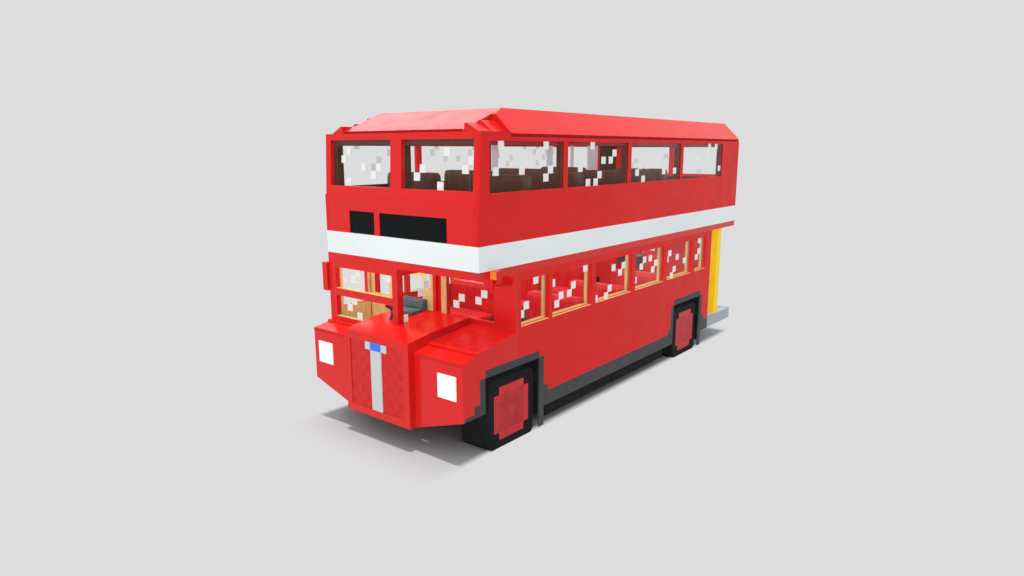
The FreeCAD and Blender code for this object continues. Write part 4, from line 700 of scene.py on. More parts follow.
class BusStudio(PropertyGroup):
    """The studio's light and camera."""

    sky: plain_choice("Sky", "Light from all round", 0.5)
    key: plain_choice("Key", "Sun from overhead", 1.1)
    fill: plain_choice("Fill", "Sun from the front", 2.4)
    saloon: plain_choice("Saloon lamps", "Power of the lower ceiling's panel in watts", 42.0)
    upper_share: plain_choice("Upper share", "Upper ceiling's panel to the lower one", 1.0)
    cab_share: plain_choice("Cab share", "Cab ceiling's panel to the lower one", 0.12)
    back: plain_choice("Back panel", "Power of the panel high behind in watts", 160.0)
    lens: FloatProperty(name="Lens", description="Focal length of the camera", default=24.444, min=1,
                        unit="CAMERA")
    stand: FloatVectorProperty(name="Camera place", description="Where the camera stands", size=3,
                               default=(6.621, -9.640, 3.706), subtype="TRANSLATION", unit="LENGTH")
    turn: FloatProperty(name="Turn", description="Camera's turn round the bus from dead ahead",
                        default=math.radians(38.5422), subtype="ANGLE")
    tilt: FloatProperty(name="Tilt", description="How far the camera looks down",
                        default=math.radians(11.2998), subtype="ANGLE")


def colours():
    return bpy.context.scene.bus_colours


def sizes():
    return bpy.context.scene.bus_sizes


def drawn(step):
    """A random source of its own for each piece, so that pieces don't change each other."""
    return np.random.default_rng(sizes().seed * 1000 + step)


# ---------------------------------------------------------------- operators


def finish_table():
    """Every finish of the bus by name: each maker with the values that it takes after the name."""
    c = colours()
    return {
        "coach_paint": (paint, c.coach_red, 0.2, 0.1, 0.95, 0.28),
        "side_paint": (paint, c.coach_red, 0.45, 0.06, 0.95, 0.19),
        # painted shade: finish of the brow strips, darker than the coach paint
        "brow_red": (paint, c.brow_red, 0.45, 0.0, 0.95, 0.1),
        # painted shade: finish of the dark strips in the roof's recesses
        "shadow_red": (paint, c.painted_shade_red, 0.55, 0.0, 0.95, 0.05),
        "white_paint": (paint, c.waist_white, 0.34, 0.0),
        "skirt_paint": (paint, c.skirt_grey, 0.5, 0.15, 0.7),
        "arch_paint": (paint, c.arch_black, 0.8, 0.25, 0.8),
        "yellow_paint": (paint, c.pole_yellow, 0.35, 0.1),
        # painted light: the pole sleeve's cover glows faintly though it is no lamp, to brighten the pole
        "pole_cover": (lens, c.pole_yellow, 0.1, 0.4),
        "saloon_red": (paint, c.lining_red, 0.42, 0.1),
        "bar_paint": (paint, c.bar_grey, 0.4, 0.08),
        "badge_paint": (paint, c.badge_blue, 0.35, 0.05),
        "lining_brown": (leather, c.lining_brown, 0.5),
        "cove_red": (paint, c.cove_red, 0.5, 0.0),
        "trim_boards": (wood, c.trim_tan, (1, 1, 0.12)),
        "seat_frame": (plain_metal, c.frame_grey, 0.6, 0.35),
        "exhaust_metal": (plain_metal, c.pipe_grey, 0.7, 0.5, 0.7),
        "mirror": (plain_metal, c.mirror_grey, 1.0, 0.09, 0.02),
        "tail_lens": (lens, c.tail_red, 0.05),
        "plate_white": (paint, c.plate_white, 0.4, 0.05),
        "panel_grey": (paint, c.panel_grey, 0.5, 0.0),
        "trim_wood": (wood, c.trim_tan),
        "floor_wood": (wood, c.floor_brown, (1, 0.08, 1)),
        "red_leather": (leather, c.lining_red, 0.38),
        "brown_leather": (leather, c.lining_brown),
        "grey_leather": (leather, c.seat_grey),
        "grey_leather_dark": (leather, c.wheel_grey, 0.35),
        "rubber": (rubber, c.tyre_black),
        "black_gloss": (paint, c.blind_black, 0.25, 0.0, 1.0, 0.08),
        "chassis": (plain_metal, c.chassis_black),
        "engine": (plain_metal, c.engine_grey, 0.2, 0.5, 0.5, c.oil_brown),
        "bright_metal": (plain_metal, c.bright_grey, 1.0, 0.2, 0.2, c.tarnish_grey),
        "glass": (clear_glass, c.glass_tint),
        # painted light: glints on the glass that stand for reflections and glow faintly
        "glass_mark": (lens, c.glint_white, 0.42, 0.35),
        "lamp_lens": (lens, c.lamp_white, 0.12),
        "indicator_lens": (lens, c.indicator_orange, 0.1),
        "grille_tiles": (tiled, c.grille_dark, c.grille_light),
        "hub_tiles": (tiled, c.hub_dark, c.hub_light),
        "platform_slats": (slatted, c.platform_grey),
    }


def sided(*names):
    """The names of the two nodes, one for each side, that share each of these names."""
    return tuple(f"{name}_{side}" for name in names for side, _ in SIDES)


NODE_FINISHES = {
    "coach_paint": (
        "bonnet_cowl", "bonnet_lid", "bulkhead", "cab_frame", "offside_mirror", "radiator_shell",
        "radiator_grille", "roof", "upper_floor", "upper_front", *sided("wing"), "indicator",
    ),
    "side_paint": (
        *sided("lower_side", "upper_side"), "cab_door", "emergency_window", "lower_rear", "upper_rear",
    ),
    "saloon_red": ("rear_partition",),
    "white_paint": ("waist_band",),
    "skirt_paint": sided("skirt"),
    "arch_paint": ("wheel_housings",),
    "yellow_paint": ("platform_pole",),
    "rubber": sided("tyre_front", "tyre_rear"),
    "hub_tiles": sided("hub_front", "hub_rear"),
    "chassis": ("chassis_frame", "front_axle", "rear_axle", *sided("knuckle")),
    "grey_leather_dark": ("steering_wheel",),
    "engine": ("engine_block",),
    "glass": ("cab_door_glass", "emergency_window_glass", "lower_glass", "upper_glass"),
    "lamp_lens": ("headlamps",),
    "bar_paint": ("radiator_bar",),
    "black_gloss": ("destination_boxes",),
    "floor_wood": ("lower_floor", "staircase"),
    "trim_wood": ("cab_floor",),
    "platform_slats": ("platform",),
    "red_leather": ("lower_seats",),
    "brown_leather": ("upper_seats",),
    "grey_leather": ("driver_seat",),
}
finishes = {}


class BUS_OT_finishes(Operator):
    """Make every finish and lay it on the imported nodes"""

    bl_idname = "bus.finishes"
    bl_label = "Finishes"

    def execute(self, context):
        for name, (maker, *values) in finish_table().items():
            finishes[name] = maker(name, *values)
        for finish, names in NODE_FINISHES.items():
            for name in names:
                slots = frame["nodes"][name].data.materials
                slots.clear()
                slots.append(finishes[finish])
        return {"FINISHED"}


class BUS_OT_glass_marks(Operator):
    """Scatter the pale square marks over the glass: painted glints that stand for reflections, and glow faintly
    though they are no lamp
    """

    bl_idname = "bus.glass_marks"
    bl_label = "Glass Marks"

    cells_to_pair = 32
    cells_to_single = 36
    tries = 30
    nodes = ("lower_glass", "upper_glass", "cab_door_glass", "emergency_window_glass")

    def execute(self, context):
        for step, node in enumerate(self.nodes):
            draw = drawn(10 + step)
            made = [self.marks(low, high, draw) for low, high in solids(node)]
            piece(f"{node}_marks", gather(made), "glass_mark", frame["nodes"][node]["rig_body"])
        return {"FINISHED"}

    def marks(self, low, high, draw):
        """Square blocks through one pane, most in pairs that meet at a corner, on cells drawn at random.

        A leaning pane's marks lean with it: each point's place through the glass grows with its height.
        """
        tile, lift, thick = sizes().tile, sizes().mark_lift, sizes().pane
        along = Y_AXIS if high[0] - low[0] < high[1] - low[1] else X_AXIS
        through = 1 - along
        columns, rows = ((high - low)[[along, Z_AXIS]] / tile + 0.01).astype(int)
        wanted = [2] * max(1, round(columns * rows / self.cells_to_pair))
        wanted += [1] * max(1, round(columns * rows / self.cells_to_single))
        free = np.ones((columns + 2, rows + 2), bool)
        cells = []
        for many in wanted:
            for _ in range(self.tries):
                column, row = draw.integers(0, columns), draw.integers(0, rows)
                group = [(column - step, row - step) for step in range(many)]
                if min(min(cell) for cell in group) >= 0 and all(
                        free[c:c + 3, r:r + 3].all() for c, r in group):
                    cells += group
                    break
            for c, r in cells:
                free[c + 1, r + 1] = False
        cells = np.array(cells, float)
        corner, size = np.zeros((len(cells), 3)), np.full(3, tile)
        corner[:, along] = low[along] + cells[:, 0] * tile
        corner[:, Z_AXIS] = low[2] + cells[:, 1] * tile
        corner[:, through] = low[through] - lift
        size[through] = thick + 2 * lift
        points, faces = blocks(corner, corner + size)
        lean = high[through] - low[through] - thick
        points[:, through] += lean * (points[:, 2] - low[2]) / (high[2] - low[2])
        return points, faces


class BUS_OT_window_trim(Operator):
    """Fit the varnished sills, posts and frames inside the windows"""

    bl_idname = "bus.window_trim"
    bl_label = "Window Trim"

    strip_ease = 0.0015
    end_gap = 0.002  # from a strip's ends to the opening's
    wall_gap = 0.003  # from a strip to the wall's outside
    post_set = 0.02  # from the wall's inside to a post
    board_past = 0.03, 0.02  # how far a window board goes past the pane and past the post
    board_rise = 0.01  # from the foot of a pane up to its window board's top
    frame_reach = 0.35  # from a pane's edge to the middle of its frame, to the frame's width
    windscreen_depth = 1.0  # a pane that starts nearer the nose than this is the windscreen's

    def execute(self, context):
        size = sizes()
        side, ends, screens = [], [], []
        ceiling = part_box("upper_floor")[0][2]
        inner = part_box("lower_floor")[1][0]
        for low, high in solids("lower_glass"):
            if min(abs(low[0]), abs(high[0])) > inner:
                side += self.side_window(low, high, 1 if low[0] > 0 else -1, inner, ceiling)
            elif high[0] - low[0] < 0.1:
                ends.append(self.frame_round(low, high, X_AXIS, low[0] - size.post_deep / 2))
            elif low[1] < cad_low[1] + self.windscreen_depth:
                screens += self.windscreen_sills(low, high)
            elif high[1] < 0 < low[0]:
                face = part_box("bulkhead")[0][1] - size.lining
                path = [(low[0], face, low[2] - 0.02), (low[0], face, ceiling)]
                ends.append(swept(moulding(size.post_wide, size.lining * 2), path, square=ALONG_Y))
        for name, bars in (("window_sills_and_posts", side), ("cab_window_frames", ends),
                           ("windscreen_sills", screens)):
            piece(name, gather(bars), "trim_wood")
        return {"FINISHED"}

    def side_window(self, low, high, sign, inner, ceiling):
        """A strip on the reveal outside the glass, the window board inside it, and the post behind the
        pillar: bars with eased edges along the bus or upwards."""
        size = sizes()
        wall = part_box("lower_side_nearside")[1][0]
        strip, gap = size.sill_strip, self.end_gap
        pane = high[0] if sign > 0 else -low[0]
        board_ends = low[1] - self.board_past[0], high[1] + size.post_wide + self.board_past[1]
        bars = []
        for middle, wide, start, end, top in (
            ((pane + wall) / 2, wall - pane - self.wall_gap, low[1] + gap, high[1] - gap, low[2] + strip),
            (inner - size.board_wide / 2, size.board_wide, *board_ends, low[2] + self.board_rise),
        ):
            path = [(sign * middle, y, top - strip / 2) for y in (start, end)]
            bars.append(swept(moulding(wide, strip, self.strip_ease), path))
        post, along = inner - self.post_set - size.post_deep / 2, high[1] + size.post_wide / 2
        path = [(sign * post, along, z) for z in (low[2], ceiling)]
        bars.append(swept(moulding(size.post_deep, size.post_wide), path, square=ALONG_Y))
        return bars

    def frame_round(self, low, high, through, at):
        """A picture frame round a pane: one bar carried round its rectangle, just outside its edge."""
        along, reach = 1 - through, sizes().post_deep * self.frame_reach
        start, end, foot, head = low[along] - reach, high[along] + reach, low[2] - reach, high[2] + reach
        path = np.empty((4, 3))
        path[:, through] = at
        path[:, along] = [start, end, end, start]
        path[:, Z_AXIS] = [foot, foot, head, head]
        return swept(moulding(sizes().post_deep, sizes().lining * 2), path, True, np.eye(3)[through])

    def windscreen_sills(self, low, high):
        """A strip outside and one inside a pane of the windscreen."""
        strip, wide, overlap = sizes().sill_strip, 0.026, 0.004
        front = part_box("upper_floor")[0][1]
        ends, z = (low[0] + self.end_gap, high[0] - self.end_gap), low[2] + strip / 2
        return [swept(moulding(wide, strip, self.strip_ease), [(x, y, z) for x in ends])
                for y in ((front + low[1]) / 2, high[1] + wide / 2 - overlap)]


class BUS_OT_linings(Operator):
    """Line the saloons and the cab"""

    bl_idname = "bus.linings"
    bl_label = "Linings"

    gap = 0.001  # between a lining and what it lines
    ease = 0.002
    upper_pane_from = 0.5  # an upper pane longer than this is a side window
    front_sill = 3.09  # upper edge of the lining under the front windows
    panel_spans = ((-0.27, -0.07), (1.37, 1.56), (2.17, 2.29), (2.81, 3.2))  # pale panels, along the offside
    gusset_pane = -2.8, 1.1  # the pane ahead of the first and inside the second has the corner plate

    def execute(self, context):
        thin, gap = sizes().lining, self.gap
        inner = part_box("lower_floor")[1][0] - gap
        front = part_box("cab_floor")[0][1] + gap
        self.upper(thin, inner, front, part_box("upper_rear")[0][1] - gap)
        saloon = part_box("bulkhead")[1][1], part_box("rear_partition")[0][1]
        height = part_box("wheel_housings")[1][2], min(low[2] for low, _ in solids("lower_glass")[:2]) - 0.01
        sides = [(across(sign, inner, inner - thin), saloon, height) for sign in SIGNS]
        piece("lower_lining", slabs(sides), "saloon_red", soften=self.ease)
        self.cab(thin, inner, front)
        self.gusset()
        return {"FINISHED"}

    def upper(self, thin, inner, front, back):
        """The upper saloon's boards, coves, posts, pale panels and window reveals."""
        floor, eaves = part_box("upper_floor")[1][2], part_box("roof")[0][2]
        rails = [(low, high) for low, high in solids("upper_glass")
                 if high[1] - low[1] > self.upper_pane_from]
        sill, head = min(low[2] for low, _ in rails), max(high[2] for _, high in rails)
        exit_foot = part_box("emergency_window")[0][2]
        sides = [across(sign, inner, inner - thin) for sign in (-1, 1)]
        boards = [(side, (front, back), (floor, sill)) for side in sides]
        boards += [((-inner, inner), (front, front + thin), (floor, self.front_sill)),
                   ((-inner, inner), (back - thin, back), (floor, exit_foot))]
        piece("upper_lining", slabs(boards), "lining_brown", soften=self.ease)
        reach, over = 0.05, 0.05  # of the cove: out from the wall, and down over the windows' heads
        cove = self.cove(reach, head - over, eaves)
        for name, finish, paths in (
            ("upper_side_coves", "cove_red",
             [(sign, [(sign * inner, front, 0), (sign * inner, back, 0)]) for sign in SIGNS]),
            ("upper_end_coves", "lining_brown",
             [(sign, [(inner, y, 0), (-inner, y, 0)]) for sign, y in ((-1, front + 0.055), (1, back))]),
        ):
            piece(name, gather([swept(cove * (sign, 1), path) for sign, path in paths]), finish)
        nearside = [(low, high) for low, high in rails if low[0] > 0]
        beside, behind = (inner - 0.06, inner - 0.02), (front + 0.06, front + 0.16)  # side and front posts
        posts = [(beside, (high[1], high[1] + sizes().post_wide), (sill, eaves)) for _, high in nearside]
        half = 0.09  # of the middle front post's width, and the whole of the outer ones'
        for start, end in ((-inner, -inner + half), (-half, half), (inner - half, inner)):
            posts.append(((start, end), behind, (self.front_sill, eaves)))
        piece("upper_posts", slabs(posts), "lining_brown", soften=0.003)
        panels = [((-inner + 0.03, -inner + 0.05), span, (sill, eaves)) for span in self.panel_spans]
        piece("upper_panels", slabs(panels), "panel_grey", soften=0.004)
        last = max(high[1] for _, high in rails) + 0.06
        ends = [(side, (last, back), (sill, eaves)) for side in sides[::-1]]
        ends += [(span, (high[1] - 0.006, high[1] + 0.001), (low[2], high[2])) for low, high in nearside
                 for span in ((inner - 0.03, low[0] - 0.001), (high[0] + 0.001, high[0] + 0.024))]
        piece("upper_end_lining", slabs(ends), "lining_brown", soften=self.ease)

    def cove(self, reach, low, high, count=8):
        """A hollow moulding's profile from the wall to the ceiling: a quarter ellipse closed by its two
        straight sides, as (towards the wall, up)."""
        turn = np.linspace(0, math.pi / 2, count)
        curve = np.stack([-reach * (1 - np.cos(turn)), high - (high - low) * (1 - np.sin(turn))], axis=1)
        return np.concatenate([curve, [(-reach, high)], [(0.0, high)]])

    def gusset(self):
        """The sloping red corner plate at the head of the window beside the bonnet."""
        ahead, inside = self.gusset_pane
        high = next(high for low, high in solids("lower_glass")
                    if high[1] < ahead and 0 < low[0] and high[0] < inside)
        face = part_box("bulkhead")[0][1]
        wide, tall = 0.255, 0.235
        plate = [(-wide, 0.0), (0.0, 0.0), (0.0, -tall)]
        path = [(high[0], face + deep, high[2]) for deep in (0.004, 0.024)]
        piece("window_gusset", swept(plate, path), "coach_paint")

    def cab(self, thin, inner, front):
        """The cab's boards: back wall round its windows, side walls, ceiling and the door's own."""
        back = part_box("bulkhead")[0][1] - self.gap
        near, board = -0.061, (1.345, 1.455)  # the cab's inner side, and the board along it
        screen_end, screen_top = -0.62, 1.39  # of the board under the windscreen
        floor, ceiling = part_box("cab_floor")[1][2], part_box("upper_floor")[0][2] - self.gap
        door_low, door_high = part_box("cab_door")
        windows = (
            # left, right, foot, head
            (-1.26, -0.94, 1.63, 1.97),
            (-0.70, -0.255, 1.63, 1.97),
            (-0.19, -0.10, 1.82, 2.06),
        )
        wall, boards, last = (back - thin, back), [], -inner
        for left, right, foot, head in windows:
            boards += [((last, left), wall, (floor, ceiling)), ((left, right), wall, (floor, foot)),
                       ((left, right), wall, (head, ceiling))]
            last = right
        offside, room = (-inner, -inner + thin), (front, wall[0])
        boards += [((last, near), wall, (floor, ceiling)),
                   (offside, (door_low[1], door_high[1]), (door_high[2] + 0.006, ceiling)),
                   ((-inner, near), room, (ceiling - thin, ceiling)),
                   ((near - thin, near), room, board),
                   (offside, (front, door_low[1] - 0.01), (floor, ceiling)),
                   ((-inner, screen_end), (front, front + thin), (floor, screen_top))]
        piece("cab_lining", slabs(boards), "trim_boards", soften=self.ease)
        edge, face = 0.006, door_high[0] + self.gap
        (_, start, foot), (_, end, head) = door_low, door_high
        start, end, foot, head = start + edge, end - edge, foot + edge, head - edge
        (_, left, sill), (_, right, top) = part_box("cab_door_glass")
        left, right, sill, top = left - edge, right + edge, sill - edge, top + edge
        door = [((face, face + thin), along, up) for along, up in (
            ((start, end), (foot, sill)), ((start, left), (sill, head)), ((right, end), (sill, head)),
            ((left, right), (top, head)))]
        piece("cab_door_lining", slabs(door), "trim_boards", "cab_door", soften=self.ease)


class BUS_OT_saloon_seats(Operator):
    """Stuff the double seats of both saloons and stand them on their legs"""

    bl_idname = "bus.saloon_seats"
    bl_label = "Saloon Seats"

    room = 0.01  # from a seat's outside to its cushions
    corner = 0.05  # how round the piping's corners are
    tube = 0.014, 10  # radius of the frame's tubes, and their sides
    flutes = 8  # stripes of a cushion, with a sewn channel between each two
    # spacing of the skin's points, and depth of the channels
    cushion_skin, cushion_depth = 0.012, 0.007
    back_skin, back_depth = 0.0125, 0.008

    def execute(self, context):
        size, room = sizes(), self.room
        for deck, finish, welt, slot in (("lower", "red_leather", "saloon_red", "seat_red"),
                                         ("upper", "brown_leather", "lining_brown", "seat_brown")):
            seats = solids(f"{deck}_seats")
            low, high = seats[0]
            base, top = low[2] + size.bench_base, low[2] + size.bench_top
            front = high[1] - size.bench_back  # of the seat's back
            lines = np.linspace(low[0], high[0], self.flutes + 1)[1:-1]
            cushion = pillow((low[0] + room, low[1] + room, base),
                             (high[0] - room, front + 0.03, top + 0.006))
            cushion = stuffed(cushion, self.cushion_skin)
            cushion = channelled(cushion, X_AXIS, Z_AXIS, lines, self.cushion_depth)
            back = pillow((low[0] + room, front + room, base + 0.02),
                          (high[0] - room, high[1] - room, high[2] - 0.006), 0.16)
            back = channelled(stuffed(back, self.back_skin), X_AXIS, Y_AXIS, lines, self.back_depth)
            shifts = [one - low for one, _ in seats]
            shared = {"smooth": True, "slot": slot, "replaces": (f"{deck}_seats",)}
            pads = piece(f"{deck}_seat_cushions", repeated(cushion, shifts), finish, **shared)
            backs = piece(f"{deck}_seat_backs", repeated(back, shifts), finish, **shared)
            edge = rounded_loop(low + room, (high[0] - room, front, 0), X_AXIS, Y_AXIS, top, self.corner)
            loops = [piped(cushion, edge)]
            for y in (front, high[1]):
                edge = rounded_loop((low[0] + room, 0, top), (high[0] - room, 0, high[2] - room),
                                    X_AXIS, Z_AXIS, y, self.corner)
                loops.append(piped(back, edge))
            every = [(points + shift, faces) for points, faces in loops for shift in shifts]
            piece(f"{deck}_seat_piping", gather(every), welt, smooth=True)
            frames = [part for one, two in seats for part in self.legs(one, two, base, front - low[1])]
            piece(f"{deck}_seat_frames", gather(frames), "seat_frame")
        return {"FINISHED"}

    def legs(self, low, high, base, back):
        """Two legs on the gangway side with a foot rail, and two bearers from them to the wall: round
        tubes."""
        sign = 1 if low[0] > 0 else -1
        gangway, wall = (low[0], high[0]) if sign > 0 else (high[0], low[0])
        leg = gangway + sign * 0.04
        places = (low[1] + 0.08, low[1] + back + 0.06)
        rail = [(leg, y, low[2] + 0.1) for y in (places[0] - 0.03, places[1] + 0.03)]
        foot = [(0.0, 0.035), (0.004, 0.035), (0.008, 0.02), (0.02, 0.0145)]
        uprights = [rod([(leg, y, low[2] + 0.004), (leg, y, base + 0.03)], *self.tube, ALONG_Y)
                    for y in places]
        bearers = [rod([(x, y, base - 0.016) for x in (leg, wall)], *self.tube) for y in places]
        feet = [lathe(foot, (leg, y, low[2]), Z_AXIS, 16) for y in places]
        return [*uprights, *bearers, rod(rail, *self.tube), *feet]


class BUS_OT_driver_seat(Operator):
    """Stuff the driver's seat"""

    bl_idname = "bus.driver_seat"
    bl_label = "Driver's Seat"

    room = 0.006  # from the seat's outside to its cushions
    flutes = 4
    skin = 0.009  # spacing of the skin's points
    spread = 0.011  # how wide a channel is
    welt = 0.004  # radius of the piping

    def execute(self, context):
        room, skin, spread, welt = self.room, self.skin, self.spread, self.welt
        low, high = (np.array(corner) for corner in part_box("driver_seat"))
        back, top = high[1] - sizes().driver_back, high[2] - sizes().driver_rise
        lines = np.linspace(low[0], high[0], self.flutes + 1)[1:-1]
        cushion = pillow(low + (room, room, 0.004), (high[0] - room, back + 0.02, top - 0.004), 0.24)
        cushion = channelled(stuffed(cushion, skin, most=0.012), X_AXIS, Z_AXIS, lines, 0.006, spread)
        rest = pillow((low[0] + room, back + room, low[2] + 0.03), high - (room, room, 0.004), 0.2)
        rest = channelled(stuffed(rest, skin, most=0.01), X_AXIS, Y_AXIS, lines, 0.005, spread)
        shared = {"smooth": True, "slot": "seat_grey", "replaces": ("driver_seat",)}
        pad = piece("driver_cushion", cushion, "grey_leather", **shared)
        support = piece("driver_backrest", rest, "grey_leather", **shared)
        flat = rounded_loop(low + room, (high[0] - room, back, 0), X_AXIS, Y_AXIS, top, 0.04)
        upright = rounded_loop((low[0] + room, 0, top), high - room, X_AXIS, Z_AXIS, back, 0.03)
        loops = [piped(cushion, flat, welt), piped(rest, upright, welt)]
        piece("driver_seat_piping", gather(loops), "black_gloss", smooth=True)
        return {"FINISHED"}


class BUS_OT_grille_and_hubs(Operator):
    """Lay the small tiles of the radiator grille and of the four hubs, and the blue block"""

    bl_idname = "bus.grille_and_hubs"
    bl_label = "Grille and Hubs"

    # how far a tile of no tone stands out, and how far every tile reaches in
    grille_base, grille_sunk = 0.0005, 0.002
    hub_base, hub_sunk = 0.0008, 0.003
    hub_lift = 0.6  # a hub tile's lift to a grille tile's
    grille_tones = 0.15, 0.55, 0.3  # the darkest, what every other tile adds, and the most that chance adds
    hub_tones = 0.75, 0.3, 0.45, 0.9  # by ring, from the centre out
    hub_chance = 0.22  # the most that chance adds or takes
    block_out, block_in = 0.0015, 0.001  # how far the blue block stands out of the bar and reaches into it

    def execute(self, context):
        tile, lift = sizes().tile, sizes().tile_lift
        low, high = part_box("radiator_grille")
        bar_low, bar_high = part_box("radiator_bar")
        draw = drawn(20)
        columns = np.arange(round((high[0] - low[0]) / tile))
        rows = np.arange(round((high[2] - low[2]) / tile))
        x, z = (line.ravel() for line in np.meshgrid(low[0] + columns * tile, low[2] + rows * tile))
        middle = np.abs(x + tile / 2)
        shown = (middle > tile) & ~((middle < 2 * tile) & (z > high[2] - 1.5 * tile))
        x, z = x[shown], z[shown]
        checker = (np.round((x - low[0]) / tile) + np.round((z - low[2]) / tile)) % 2
        darkest, other, chance = self.grille_tones
        tones = darkest + other * checker + draw.uniform(0.0, chance, len(x))
        raised = self.grille_base + lift * tones
        lows = np.stack([x, low[1] - raised, z], axis=1)
        highs = np.stack([x + tile, np.full(len(x), low[1] + self.grille_sunk), z + tile], axis=1)
        piece("grille_tiles", blocks(lows, highs), "grille_tiles", tones=np.repeat(tones, 6),
              slot="red_paint")
        block = slabs([((-tile, tile), (bar_low[1] - self.block_out, bar_low[1] + self.block_in),
                        (bar_high[2] - tile, bar_high[2]))])
        piece("blue_block", block, "badge_paint", soften=0.0008)
        for end in ("front", "rear"):
            for side, sign in SIDES:
                self.hub(f"hub_{end}_{side}", f"wheel_{end}_{side}", sign, drawn(21))
        return {"FINISHED"}

    def hub(self, node, body, sign, draw):
        """A hub's face as tiles in square rings: a tile's tone comes from its ring, the larger of its
        steps along and up from the centre, and the four corner tiles are left out."""
        tile = sizes().tile
        low, high = (np.array(corner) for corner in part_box(node))
        face = high[0] if sign > 0 else low[0]
        count = round((high[2] - low[2]) / tile)
        steps = np.arange(count) - (count - 1) / 2
        y, z = (line.ravel() for line in np.meshgrid(steps, steps))
        ring = np.maximum(np.abs(y), np.abs(z))
        shown = ~((np.abs(y) == steps[-1]) & (np.abs(z) == steps[-1]))
        y, z, ring = y[shown], z[shown], ring[shown].astype(int)
        chance = draw.uniform(-self.hub_chance, self.hub_chance, len(ring))
        tones = np.clip(np.array(self.hub_tones)[ring] + chance, 0, 1)
        raised = self.hub_base + sizes().tile_lift * self.hub_lift * tones
        centre = (low + high) / 2
        inner, outer = face - sign * self.hub_sunk, face + sign * raised
        lows = np.stack([np.minimum(inner, outer), centre[1] + (y - 0.5) * tile,
                         centre[2] + (z - 0.5) * tile], axis=1)
        highs = np.stack([np.maximum(inner, outer), centre[1] + (y + 0.5) * tile,
                          centre[2] + (z + 0.5) * tile], axis=1)
        piece(f"{node}_tiles", blocks(lows, highs), "hub_tiles", body, tones=np.repeat(tones, 6),
              slot="hub_red")


